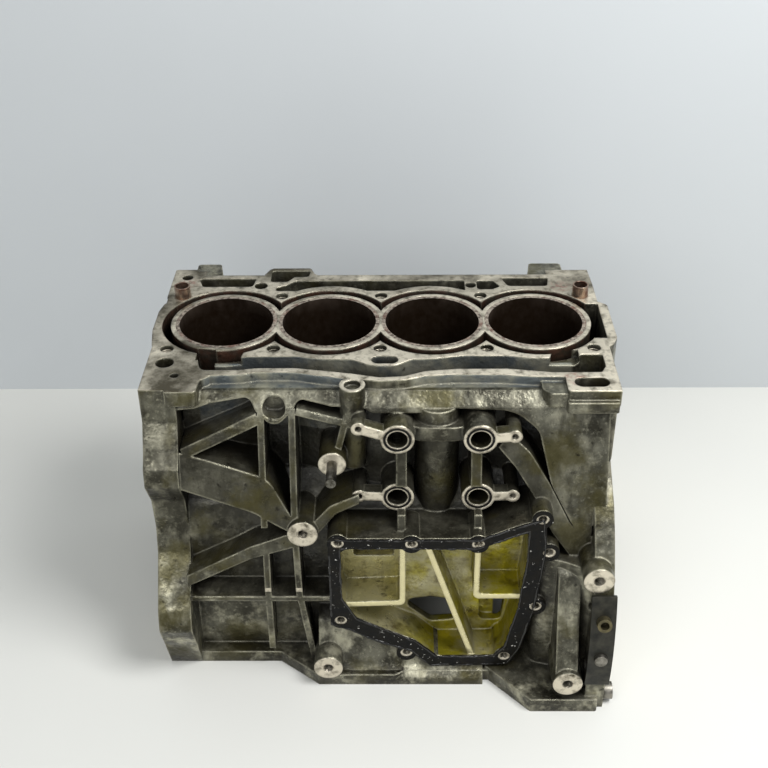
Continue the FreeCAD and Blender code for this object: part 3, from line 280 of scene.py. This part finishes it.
def varnished_chamber(tree, tints, place, skin):
    """Pale walls under yellow oil varnish inside the separator chamber, and the mask of that chamber."""
    body = together(tree, "MULTIPLY", within(tree, place[0], *CHAMBER_X), within(tree, place[2], *CHAMBER_Z))
    corner = together(tree, "MULTIPLY", within(tree, place[0], *CHAMBER_CORNER_X),
                      within(tree, place[2], *CHAMBER_CORNER_Z))
    slope = together(tree, "ADD", place[2], together(tree, "MULTIPLY", place[0], CHAMBER_SLOPE))
    chamber = together(tree, "MULTIPLY", together(tree, "MAXIMUM", body, corner),
                       together(tree, "GREATER_THAN", slope, 0.0), within(tree, place[1], *CHAMBER_Y, 0.3))
    right = add(tree, "ShaderNodeMapRange",
                {"Value": place[0], "From Min": 0.0, "From Max": 0.04, "To Min": 0.15}).outputs["Result"]
    varnish = together(tree, "MULTIPLY", blotches(tree, 30, 0.38, 0.56, 4.0, shift=1.5), right)
    walls = blend(tree, varnish, tints.bare_chamber, tints.amber)
    brown = together(tree, "MULTIPLY", blotches(tree, 16, 0.54, 0.68, 5.0, shift=4.5), 0.7)
    return blend(tree, chamber, skin, blend(tree, brown, walls, tints.baked)), chamber


def milled_face(tree, tints, place, facing):
    """Milled aluminium with gasket marks, more dark marks to the left and rear and on faces that look up, and
    a little red paint.
    """
    worn = blend(tree, blotches(tree, 7, 0.48, 0.72, 8.0, shift=5.0), tints.machined, tints.gasket)
    left = add(tree, "ShaderNodeMapRange", {"Value": place[0], "From Min": 0.02, "From Max": -0.20})
    rear = add(tree, "ShaderNodeMapRange", {"Value": place[1], "From Min": 0.02, "From Max": 0.10})
    # More dark marks towards the left and the rear.
    darker_left_and_rear = together(tree, "MAXIMUM", left.outputs["Result"], rear.outputs["Result"])
    darker_left_and_rear = together(tree, "ADD", darker_left_and_rear, 0.3)
    upward = together(tree, "ADD", together(tree, "MAXIMUM", facing[2], 0.0), 0.55)
    stain = together(tree, "MULTIPLY", blotches(tree, 40, 0.34, 0.70, 7.0, shift=9.0), darker_left_and_rear, upward, 0.75)
    face = blend(tree, stain, worn, tints.gasket)
    paint = blotches(tree, 4, 0.44, 0.70, 8.0, shift=12.0)
    return blend(tree, together(tree, "MULTIPLY", paint, paint_places(tree, place)), face, tints.red)


def cast_relief(tree, milled, rounded):
    """The pebbled and gently wavy as-cast surface, flat where it is milled."""
    place = add(tree, "ShaderNodeTexCoord").outputs["Object"]
    pebbles = add(tree, "ShaderNodeTexNoise", {"Vector": place, "Scale": 1 / (2.4 * MM), "Detail": 6.0})
    swell = add(tree, "ShaderNodeTexNoise", {"Vector": place, "Scale": 1 / (15 * MM), "Detail": 3.0})
    height = together(tree, "ADD", pebbles.outputs["Fac"],
                      together(tree, "MULTIPLY", swell.outputs["Fac"], 5.0))
    height = together(tree, "MULTIPLY", height, together(tree, "SUBTRACT", 1.0, milled))
    bump = add(tree, "ShaderNodeBump",
               {"Height": height, "Strength": 0.8, "Distance": 0.42 * MM, "Normal": rounded})
    return bump.outputs["Normal"]


def cast_aluminium(tints):
    """High-pressure die-cast aluminium: a pebbled skin, mottled by oil stains, milled pale on its faces, with
    painted shade in its hollows and painted highlights on its edges.
    """
    material, tree, shader = new_material("die cast aluminium, grimy")
    place, facing = where(tree)
    milled = plane_mask(tree, [(2, 1, DECK), (2, -1, -BASE), (0, 1, END), (0, -1, END)]
                        + [(1, -1, face) for face in FRONT_FACES])
    cream = plane_mask(tree, [(1, -1, BAFFLE_FACE)])
    rounded, edge = soft_edge(tree, 2.6, 6)

    skin = mottled_skin(tree, tints, place)
    skin = scaled_jacket(tree, tints, place, skin)
    skin = washed_and_lit_channel(tree, tints, place, skin)
    skin, chamber = varnished_chamber(tree, tints, place, skin)
    # Painted highlights, with some real wear: the rounded edges of the casting turn pale in patches.
    rubbed_and_highlit = together(tree, "MULTIPLY", edge, blotches(tree, 12, 0.30, 0.56, 4.0, shift=19.0), 0.85)
    skin = blend(tree, rubbed_and_highlit, skin, tints.pale_cast_and_highlight)
    specks = blotches(tree, 7, 0.62, 0.70, 8.0, shift=7.0)
    skin = blend(tree, together(tree, "MULTIPLY", specks, 0.7), skin, tints.grime_and_shade)
    # Painted shade, with some dirt: corners and pockets turn dark, less so inside the separator chamber.
    dirt_and_shade = together(tree, "MULTIPLY", hollow_shade_and_dirt(tree, 34, 0.18, 0.86),
                    together(tree, "SUBTRACT", 0.95, together(tree, "MULTIPLY", chamber, 0.75)))
    skin = blend(tree, dirt_and_shade, skin, tints.grime_and_shade)
    skin = blend(tree, cream, skin, tints.cream)
    face = milled_face(tree, tints, place, facing)
    tree.links.new(blend(tree, milled, skin, face), shader.inputs["Base Color"])

    rough = add(tree, "ShaderNodeMapRange",
                {"Value": blotches(tree, 14, 0.35, 0.70, 6.0, shift=2.0), "To Min": 0.26, "To Max": 0.58})
    rough = add(tree, "ShaderNodeMix", {0: milled, 2: rough.outputs["Result"], 3: 0.36}).outputs[0]
    tree.links.new(rough, shader.inputs["Roughness"])
    metal = together(tree, "SUBTRACT", 0.80, together(tree, "MULTIPLY", dirt_and_shade, 0.7))
    tree.links.new(metal, shader.inputs["Metallic"])
    tree.links.new(cast_relief(tree, milled, rounded), shader.inputs["Normal"])
    return material


def paint_places(tree, place):
    """1 near the few spots of the deck where red marking paint is left."""
    masks = []
    for x, y in PAINT_SPOTS:
        spot = add(tree, "ShaderNodeCombineXYZ", {0: place[0], 1: place[1]}).outputs[0]
        away = add(tree, "ShaderNodeVectorMath", {0: spot, 1: (x * MM, y * MM, 0.0)},
                   operation="DISTANCE").outputs["Value"]
        fading = add(tree, "ShaderNodeMapRange",
                     {"Value": away, "From Min": PAINT_REACH * MM, "From Max": PAINT_CORE * MM})
        masks.append(fading.outputs["Result"])
    return together(tree, "MAXIMUM", *masks)


def liner_iron(tints):
    """Centrifugally cast iron: pale spotted rim, and a honed wall under a film of old oil, darker further
    down the bore.
    """
    material, tree, shader = new_material("honed cast iron, lightly rusted")
    place, facing = where(tree)
    rim = together(tree, "GREATER_THAN", facing[2], 0.9)
    pale = blend(tree, blotches(tree, 3, 0.42, 0.62, 6.0), tints.rim, tints.scale)
    outward = add(tree, "ShaderNodeMapRange",
                  {"Value": bore_distance(tree), "From Min": 39.5 * MM, "From Max": 42.0 * MM, "To Max": 0.5})
    rust = together(tree, "ADD", blotches(tree, 10, 0.52, 0.66, 6.0, shift=6.0), outward.outputs["Result"])
    pale = blend(tree, together(tree, "MULTIPLY", rust, 0.8), pale, tints.rust)
    wall = blend(tree, blotches(tree, 25, 0.40, 0.70, 3.0, stretch=(1, 1, 0.3)), tints.bore, tints.scale)
    deep = add(tree, "ShaderNodeMapRange",
               {"Value": place[2], "From Min": (DECK - 1.0) * MM, "From Max": (DECK - 12.0) * MM})
    wall = blend(tree, deep.outputs["Result"], wall, tints.bore)
    tree.links.new(blend(tree, rim, wall, pale), shader.inputs["Base Color"])
    shader.inputs["Metallic"].default_value = 0.6
    rough = add(tree, "ShaderNodeMapRange",
                {"Value": blotches(tree, 5, 0.3, 0.7, 4.0, shift=4.0), "To Min": 0.38, "To Max": 0.6})
    tree.links.new(rough.outputs["Result"], shader.inputs["Roughness"])
    hone = []
    for turn in (0.5, -0.5):
        slanted = together(tree, "ADD", place[2], together(tree, "MULTIPLY", place[0], turn))
        waves = together(tree, "MULTIPLY", slanted, 2 * math.pi / (HONE_SPACING * MM))
        hone.append(add(tree, "ShaderNodeMath", {0: waves}, operation="SINE").outputs[0])
    lines = together(tree, "MULTIPLY", together(tree, "MAXIMUM", *hone),
                     together(tree, "SUBTRACT", 1.0, rim))
    bump = add(tree, "ShaderNodeBump", {"Height": lines, "Strength": 0.15, "Distance": 0.05 * MM})
    tree.links.new(bump.outputs["Normal"], shader.inputs["Normal"])
    return material


def worn_surface(name, tint, stain, metallic, rough_low, rough_high, grain_mm, bump_mm=0.05, gloss=0.5,
                 painted_glint=None):
    """A metal, rubber or sealant with stains, painted shade in its hollows, uneven polish, a fine grain and,
    if asked for, painted glints.
    """
    material, tree, shader = new_material(name)
    rounded = soft_edge(tree, 0.5)[0]
    base = blend(tree, blotches(tree, 9, 0.40, 0.68, 6.0), tint, stain)
    # Painted shade, with some dirt: small hollows turn towards the stain colour.
    dirt_and_shade = hollow_shade_and_dirt(tree, 5, 0.2, 0.9)
    base = blend(tree, together(tree, "MULTIPLY", dirt_and_shade, 0.7), base, stain)
    # Painted glints: pale specks that stand for highlights on the sealant.
    if painted_glint:
        painted_glints = together(tree, "MULTIPLY", blotches(tree, 2.2, 0.69, 0.73, 2.0, shift=21.0), 0.8)
        base = blend(tree, painted_glints, base, painted_glint)
    tree.links.new(base, shader.inputs["Base Color"])
    shader.inputs["Metallic"].default_value = metallic
    shader.inputs["Specular IOR Level"].default_value = gloss
    rough = add(tree, "ShaderNodeMapRange",
                {"Value": blotches(tree, 4, 0.3, 0.7, 4.0, shift=2.0), "To Min": rough_low,
                 "To Max": rough_high})
    tree.links.new(rough.outputs["Result"], shader.inputs["Roughness"])
    grain = blotches(tree, grain_mm, 0.0, 1.0, 3.0, shift=6.0)
    bump = add(tree, "ShaderNodeBump",
               {"Height": grain, "Strength": 0.5, "Distance": bump_mm * MM, "Normal": rounded})
    tree.links.new(bump.outputs["Normal"], shader.inputs["Normal"])
    return material


def finish_node(name, material):
    """Give one CAD piece its finish in every material slot."""
    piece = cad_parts[name]
    for slot in piece.material_slots:
        slot.material = material
    if not piece.material_slots:
        piece.data.materials.append(material)


class OBJECT_OT_block_casting(bpy.types.Operator):
    """Finish the casting as grimy die-cast aluminium with milled faces"""
    bl_idname = "object.block_casting"
    bl_label = "Finish the casting"

    def execute(self, context):
        finish_node("engine_block", cast_aluminium(context.scene.block_colours))
        return {"FINISHED"}


class OBJECT_OT_block_iron(bpy.types.Operator):
    """Finish the cylinder liners and the main bearing caps as cast iron"""
    bl_idname = "object.block_iron"
    bl_label = "Finish the iron parts"

    def execute(self, context):
        tints = context.scene.block_colours
        iron = liner_iron(tints)
        caps = worn_surface("sand cast iron", tints.iron, tints.grime_and_shade, 0.6, 0.5, 0.7, 1.5, 0.3)
        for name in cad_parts:
            if name.startswith("cylinder_liner"):
                finish_node(name, iron)
            if name.startswith("main_bearing_cap"):
                finish_node(name, caps)
        return {"FINISHED"}


class OBJECT_OT_block_fittings(bpy.types.Operator):
    """Finish the bolts, dowels, seals, sealant and bracket"""
    bl_idname = "object.block_fittings"
    bl_label = "Finish the fittings"

    def execute(self, context):
        tints = context.scene.block_colours
        steel = worn_surface("turned steel", tints.steel, tints.cast_dark, 0.95, 0.25, 0.5, 0.6)
        sleeve = worn_surface("tarnished dowel steel", tints.sleeve, tints.rust, 0.95, 0.25, 0.5, 0.6)
        brass = worn_surface("dull brass bush", tints.brass, tints.cast_dark, 0.8, 0.35, 0.6, 0.6)
        rubber = worn_surface("moulded nitrile rubber", tints.rubber, tints.grime_and_shade, 0.0, 0.4, 0.65, 0.8,
                              gloss=0.15)
        sealant = worn_surface("cured silicone sealant", tints.sealant, tints.grime_and_shade, 0.0, 0.3, 0.6, 3.0, 0.4,
                               gloss=0.15, painted_glint=tints.painted_glint)
        black = worn_surface("blackened sheet steel", tints.black, tints.cast_dark, 0.4, 0.35, 0.6, 1.0)
        finishes = {
            "main_cap_bolts": steel, "sensor_stud": steel, "oil_gallery_plug": steel, "bracket_bolt": steel,
            "head_dowel_sleeve_1": sleeve, "head_dowel_sleeve_2": sleeve, "gearbox_dowel_1": steel,
            "gearbox_dowel_2": steel, "bracket_bush": brass, "breather_sealant": sealant,
            "end_bracket": black,
        }
        finishes.update({"port_seal_%d" % (i + 1): rubber for i in range(4)})
        for name, material in finishes.items():
            finish_node(name, material)
        return {"FINISHED"}


# ---------------------------------------------------------------- threads and squeezed-out sealant
class EngineBlockDetail(bpy.types.PropertyGroup):
    thread_depth: bpy.props.FloatProperty(
        name="Thread depth", description="How deep a hole's thread is modelled", default=0.012, min=0.002,
        unit="LENGTH")
    thread_steps: bpy.props.IntProperty(
        name="Thread steps", description="Straight steps in one turn of a thread", default=24, min=8, max=64)
    bead_radius: bpy.props.FloatProperty(
        name="Bead radius", description="Radius of the squeezed-out sealant bead", default=0.0011, min=0.0002,
        unit="LENGTH")
    bead_seed: bpy.props.IntProperty(name="Bead seed", description="Seed of the bead's lumps", default=4)


# Screw holes of the separator flange, as x and z in millimetres.
SEPARATOR_SCREWS = [(-32.5, 93.0), (23.5, 92.0), (74.0, 92.0), (121.0, 116.0), (128.0, 83.5), (121.0, 28.0),
                    (99.0, -27.0), (20.0, -23.0), (-32.0, 13.0)]
# Head bolt holes: three pairs between the cylinders and the two front corners. Their threads start lower.
HEAD_BOLT_THREAD_TOP = DECK - 3.0
HEAD_BOLTS = [(i * BORE_PITCH, side * HEAD_BOLT_SPREAD) for i in (-1, 0, 1) for side in (-1, 1)]
HEAD_BOLTS += [(side * HEAD_BOLT_END, -HEAD_BOLT_SPREAD) for side in (-1, 1)]
# Threaded holes: name, radius and pitch in millimetres, the way out of the hole, and the mouths.
THREADS = (
    ("bracket_boss_threads", 4.25, 1.25, "front",
     [(-59.0, -130.0, 97.0), (-43.0, -145.0, -31.0), (163.5, -158.0, 75.0), (145.5, -172.0, -20.0)]),
    ("breather_screw_threads", 3.2, 1.0, "front", [(x, -SEPARATOR_FACE, z) for x, z in SEPARATOR_SCREWS]),
    ("ear_screw_threads", 2.5, 0.8, "front",
     [(-15.5, -115.0, 184.0), (99.0, -115.0, 177.0), (-16.0, -115.0, 122.0), (100.0, -115.0, 122.0)]),
    ("head_bolt_threads", 5.2, 1.5, "up", [(x, y, HEAD_BOLT_THREAD_TOP) for x, y in HEAD_BOLTS]),
)
WAYS = {"front": (math.pi / 2, 0.0, 0.0), "up": (0.0, 0.0, 0.0)}


def new_tree(name, inputs):
    """A geometry tree with a mesh in, a mesh out and named inputs."""
    tree = bpy.data.node_groups.new(name, "GeometryNodeTree")
    tree.interface.new_socket("Geometry", in_out="INPUT", socket_type="NodeSocketGeometry")
    for label, kind in inputs:
        tree.interface.new_socket(label, in_out="INPUT", socket_type=kind)
    tree.interface.new_socket("Geometry", in_out="OUTPUT", socket_type="NodeSocketGeometry")
    return tree, tree.nodes.new("NodeGroupInput").outputs


def close_tree(tree, geometry, material):
    """End a geometry tree: real geometry with its material."""
    real = add(tree, "GeometryNodeRealizeInstances", {"Geometry": geometry}).outputs[0]
    done = add(tree, "GeometryNodeSetMaterial", {"Geometry": real, "Material": material}).outputs[0]
    add(tree, "NodeGroupOutput", {0: done})


def grown(name, seed_mesh, tree, values):
    """Run a geometry tree on a seed mesh and keep the result as a plain mesh piece."""
    seed = bpy.data.objects.new(name + "_seed", seed_mesh)
    bpy.context.collection.objects.link(seed)
    modifier = seed.modifiers.new(name, "NODES")
    modifier.node_group = tree
    for item in tree.interface.items_tree:
        if item.in_out == "INPUT" and item.name in values:
            modifier[item.identifier] = values[item.name]
    bpy.context.view_layer.update()
    shape = seed.evaluated_get(bpy.context.evaluated_depsgraph_get())
    mesh = bpy.data.meshes.new_from_object(shape)
    mesh.name = name
    bpy.data.objects.remove(seed)
    piece = bpy.data.objects.new(name, mesh)
    bpy.context.collection.objects.link(piece)
    if not mesh.polygons:
        raise RuntimeError("no faces in " + name)
    return piece


def thread_tree():
    """A tree that sets one turned thread, running inwards, at each point of the seed mesh."""
    tree, given = new_tree("screw_threads", [
        ("Radius", "NodeSocketFloat"), ("Pitch", "NodeSocketFloat"), ("Depth", "NodeSocketFloat"),
        ("Steps", "NodeSocketInt"), ("Way", "NodeSocketRotation"), ("Material", "NodeSocketMaterial")])
    turns = together(tree, "DIVIDE", given["Depth"], given["Pitch"])
    centre = together(tree, "SUBTRACT", given["Radius"], together(tree, "MULTIPLY", given["Pitch"], 0.14))
    helix = add(tree, "GeometryNodeCurveSpiral",
                {"Resolution": given["Steps"], "Rotations": turns, "Start Radius": centre,
                 "End Radius": centre, "Height": together(tree, "MULTIPLY", given["Depth"], -1.0)}).outputs[0]
    ridge = add(tree, "GeometryNodeCurvePrimitiveCircle",
                {"Resolution": 4, "Radius": together(tree, "MULTIPLY", given["Pitch"], 0.36)}).outputs[0]
    thread = add(tree, "GeometryNodeCurveToMesh",
                 {"Curve": helix, "Profile Curve": ridge, "Fill Caps": True}).outputs[0]
    placed = add(tree, "GeometryNodeInstanceOnPoints",
                 {"Points": given["Geometry"], "Instance": thread, "Rotation": given["Way"]}).outputs[0]
    close_tree(tree, placed, given["Material"])
    return tree


def bead_tree():
    """A tree that runs a lumpy bead of sealant along the seed mesh's edges."""
    tree, given = new_tree("squeezed_sealant", [
        ("Radius", "NodeSocketFloat"), ("Step", "NodeSocketFloat"), ("Seed", "NodeSocketInt"),
        ("Material", "NodeSocketMaterial")])
    path = add(tree, "GeometryNodeMeshToCurve", {0: given["Geometry"]}).outputs[0]
    path = add(tree, "GeometryNodeResampleCurve", {"Curve": path, "Length": given["Step"]},
               mode="LENGTH").outputs[0]
    place = add(tree, "GeometryNodeInputPosition").outputs[0]
    lumps = add(tree, "ShaderNodeTexNoise",
                {"Vector": place, "W": given["Seed"], "Scale": 1 / (7 * MM), "Detail": 3.0},
                noise_dimensions="4D").outputs["Fac"]
    swell = add(tree, "ShaderNodeMapRange",
                {"Value": lumps, "From Min": 0.3, "From Max": 0.75, "To Min": 0.25,
                 "To Max": 1.6}).outputs["Result"]
    sway = add(tree, "ShaderNodeTexNoise", {"Vector": place, "W": given["Seed"], "Scale": 1 / (16 * MM)},
               noise_dimensions="4D").outputs["Color"]
    sway = add(tree, "ShaderNodeVectorMath", {0: sway, 1: (0.5, 0.5, 0.5)}, operation="SUBTRACT").outputs[0]
    sway = add(tree, "ShaderNodeVectorMath", {0: sway, 1: (3 * MM, 0.0, 3 * MM)},
               operation="MULTIPLY").outputs[0]
    path = add(tree, "GeometryNodeSetPosition", {"Geometry": path, "Offset": sway}).outputs[0]
    section = add(tree, "GeometryNodeCurvePrimitiveCircle", {"Resolution": 8, "Radius": 1.0}).outputs[0]
    bead = add(tree, "GeometryNodeCurveToMesh",
               {"Curve": path, "Profile Curve": section,
                "Scale": together(tree, "MULTIPLY", swell, given["Radius"])}).outputs[0]
    close_tree(tree, bead, given["Material"])
    return tree


def point_mesh(name, points):
    """A mesh of loose points from places in millimetres."""
    mesh = bpy.data.meshes.new(name)
    mesh.from_pydata([tuple(v * MM for v in point) for point in points], [], [])
    return mesh


def loop_mesh(name, points):
    """A closed loop of edges through places in millimetres."""
    mesh = bpy.data.meshes.new(name)
    count = len(points)
    mesh.from_pydata([tuple(v * MM for v in point) for point in points],
                     [(i, (i + 1) % count) for i in range(count)], [])
    return mesh


class OBJECT_OT_block_threads(bpy.types.Operator):
    """Add the threads that show in the mouths of the screw holes"""
    bl_idname = "object.block_threads"
    bl_label = "Add the threads"

    def execute(self, context):
        detail = context.scene.block_detail
        tints = context.scene.block_colours
        cut = worn_surface("cut thread in aluminium", tints.machined, tints.cast_dark, 0.9, 0.25, 0.5, 0.8)
        tree = thread_tree()
        for name, radius, pitch, way, mouths in THREADS:
            piece = grown(name, point_mesh(name, mouths), tree,
                          {"Radius": radius * MM, "Pitch": pitch * MM, "Depth": detail.thread_depth,
                           "Steps": detail.thread_steps, "Way": WAYS[way], "Material": cut})
            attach(piece, "root")
        return {"FINISHED"}


# The outer and inner edge of the sealant band on the separator flange, as x and z in millimetres.
BAND_OUTER = [(-39, 96), (76, 96), (104, 109), (122, 115), (125, 84), (120, 28), (111, -16), (102, -35),
              (40, -37), (24, -21), (-8, -7), (-26, 4), (-39, 9)]
BAND_INNER = [(-31, 88), (76, 88), (102, 101), (112, 105), (112, 74), (108, 28), (99, -16), (90, -27),
              (45, -28), (27, -10), (-2, 5), (-20, 15), (-31, 36)]
BEAD_STAND = 0.6
BEAD_STEP = 1.5


class OBJECT_OT_block_sealant(bpy.types.Operator):
    """Squeeze a lumpy bead of sealant out along both edges of the separator flange"""
    bl_idname = "object.block_sealant"
    bl_label = "Add the sealant beads"

    def execute(self, context):
        detail = context.scene.block_detail
        tints = context.scene.block_colours
        wet = worn_surface("glossy silicone bead", tints.sealant, tints.grime_and_shade, 0.0, 0.12, 0.3, 2.0, 0.3)
        tree = bead_tree()
        level = -(SEPARATOR_FACE + BEAD_STAND)
        edges = (("sealant_bead_outer", BAND_OUTER, 0), ("sealant_bead_inner", BAND_INNER, 7))
        for name, edge, seed in edges:
            piece = grown(name, loop_mesh(name, [(x, level, z) for x, z in edge]), tree,
                          {"Radius": detail.bead_radius, "Step": BEAD_STEP * MM,
                           "Seed": detail.bead_seed + seed, "Material": wet})
            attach(piece, "root")
        return {"FINISHED"}


# ---------------------------------------------------------------- stage
TABLE_REACH = 4.0
WALL_TOP = 3.0
LIGHT_TARGET = (0.0, 0.0, 0.05)
ROOM_LIGHT = linear("#f7fbff")
ROOM_STRENGTH = 0.45


class EngineBlockStage(bpy.types.PropertyGroup):
    floor: colour("Floor", "#cfcfca", "Pale table top")
    wall: colour("Wall", "#bcc0c2", "Pale grey-blue wall behind the table")
    lens: bpy.props.FloatProperty(
        name="Lens", description="Focal length on a 36 mm sensor", default=54.2, min=20.0, unit="CAMERA")
    camera_place: bpy.props.FloatVectorProperty(
        name="Camera place", description="Where the camera stands", default=(0.0121, -0.7977, 0.6729),
        subtype="TRANSLATION", unit="LENGTH")
    camera_down: bpy.props.FloatProperty(
        name="Camera pitch", description="How far the camera looks down", default=math.radians(33.352),
        subtype="ANGLE")
    camera_turn: bpy.props.FloatProperty(
        name="Camera turn", description="How far the camera is turned to the left",
        default=math.radians(0.711), subtype="ANGLE")
    camera_roll: bpy.props.FloatProperty(
        name="Camera roll", description="How far the camera leans", default=math.radians(-0.532),
        subtype="ANGLE")
    wall_distance: bpy.props.FloatProperty(
        name="Wall distance", description="From the crankshaft to the wall", default=0.295, min=0.2,
        unit="LENGTH")
    key_power: bpy.props.FloatProperty(
        name="Key light", description="Power of the large overhead light", default=20.0, min=0.0,
        unit="POWER")
    fill_power: bpy.props.FloatProperty(
        name="Fill light", description="Power of the weak front light", default=10.0, min=0.0, unit="POWER")


def flat_material(name, tint):
    """Matt painted board, very slightly uneven, and clear from behind so that it hides no view."""
    material, tree, shader = new_material(name)
    shade = blotches(tree, 300, 0.3, 0.7, 2.0)
    darker = tuple(c * 0.97 for c in tint[:3]) + (1.0,)
    tree.links.new(blend(tree, shade, tuple(tint), darker), shader.inputs["Base Color"])
    shader.inputs["Roughness"].default_value = 0.8
    behind = add(tree, "ShaderNodeNewGeometry").outputs["Backfacing"]
    clear = add(tree, "ShaderNodeBsdfTransparent").outputs[0]
    one_sided = add(tree, "ShaderNodeMixShader", {0: behind, 1: shader.outputs[0], 2: clear}).outputs[0]
    tree.links.new(one_sided, tree.nodes["Material Output"].inputs["Surface"])
    return material


def board(name, points, material):
    """One flat stage board from its four corners."""
    mesh = bpy.data.meshes.new(name)
    mesh.from_pydata(points, [], [(0, 1, 2, 3)])
    piece = bpy.data.objects.new(name, mesh)
    bpy.context.collection.objects.link(piece)
    piece.data.materials.append(material)
    return piece


def lamp(name, place, target, size, power):
    """A square area light that looks at a point."""
    light = bpy.data.lights.new(name, "AREA")
    light.size = size
    light.energy = power
    made = bpy.data.objects.new(name, light)
    made.location = place
    made.rotation_euler = (Vector(target) - Vector(place)).to_track_quat("-Z", "Y").to_euler()
    bpy.context.collection.objects.link(made)
    return made


class OBJECT_OT_block_stage(bpy.types.Operator):
    """Build the table, the wall, the soft lights and the camera"""
    bl_idname = "object.block_stage"
    bl_label = "Build the stage"

    def execute(self, context):
        stage = context.scene.block_stage
        low = BASE * MM
        side = TABLE_REACH
        far = stage.wall_distance
        board("table", [(-side, -side, low), (side, -side, low), (side, far, low), (-side, far, low)],
              flat_material("matt white table top", stage.floor))
        board("wall", [(-side, far, low), (side, far, low), (side, far, WALL_TOP), (-side, far, WALL_TOP)],
              flat_material("matt grey wall paint", stage.wall))

        lamp("key light", (0.65, -0.45, 1.20), LIGHT_TARGET, 0.6, stage.key_power)
        lamp("fill light", (-0.5, -1.3, 1.0), LIGHT_TARGET, 0.9, stage.fill_power)
        world = bpy.data.worlds.new("soft room light")
        world.use_nodes = True
        sky = world.node_tree.nodes["Background"]
        sky.inputs["Color"].default_value = ROOM_LIGHT
        sky.inputs["Strength"].default_value = ROOM_STRENGTH
        context.scene.world = world

        camera = bpy.data.cameras.new("camera")
        camera.lens = stage.lens
        camera.sensor_width = 36.0
        viewer = bpy.data.objects.new("camera", camera)
        viewer.matrix_world = (
            Matrix.Translation(stage.camera_place)
            @ Matrix.Rotation(stage.camera_turn, 4, "Z")
            @ Matrix.Rotation(math.pi / 2 - stage.camera_down, 4, "X")
            @ Matrix.Rotation(stage.camera_roll, 4, "Z")
        )
        context.collection.objects.link(viewer)
        context.scene.camera = viewer
        context.scene.view_settings.view_transform = "Standard"
        return {"FINISHED"}


class VIEW3D_PT_engine_block(bpy.types.Panel):
    """The steps that finish the engine block"""
    bl_label = "Engine block"
    bl_idname = "VIEW3D_PT_engine_block"
    bl_space_type = "VIEW_3D"
    bl_region_type = "UI"
    bl_category = "Engine block"

    def draw(self, context):
        for step in STEPS:
            self.layout.operator(step.bl_idname)
        for group in (context.scene.block_colours, context.scene.block_detail, context.scene.block_stage):
            for name in group.__annotations__:
                self.layout.prop(group, name)


STEPS = (OBJECT_OT_block_casting, OBJECT_OT_block_iron, OBJECT_OT_block_fittings, OBJECT_OT_block_threads,
         OBJECT_OT_block_sealant, OBJECT_OT_block_stage)
CLASSES = (EngineBlockColours, EngineBlockDetail, EngineBlockStage) + STEPS + (VIEW3D_PT_engine_block,)


def register():
    for made in CLASSES:
        bpy.utils.register_class(made)
    bpy.types.Scene.block_colours = bpy.props.PointerProperty(type=EngineBlockColours)
    bpy.types.Scene.block_detail = bpy.props.PointerProperty(type=EngineBlockDetail)
    bpy.types.Scene.block_stage = bpy.props.PointerProperty(type=EngineBlockStage)


def unregister():
    del bpy.types.Scene.block_stage
    del bpy.types.Scene.block_detail
    del bpy.types.Scene.block_colours
    for made in reversed(CLASSES):
        bpy.utils.unregister_class(made)


def main():
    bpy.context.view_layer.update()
    register()
    for step in STEPS:
        group, name = step.bl_idname.split(".")
        getattr(getattr(bpy.ops, group), name)()


if __name__ == "__main__":
    main()
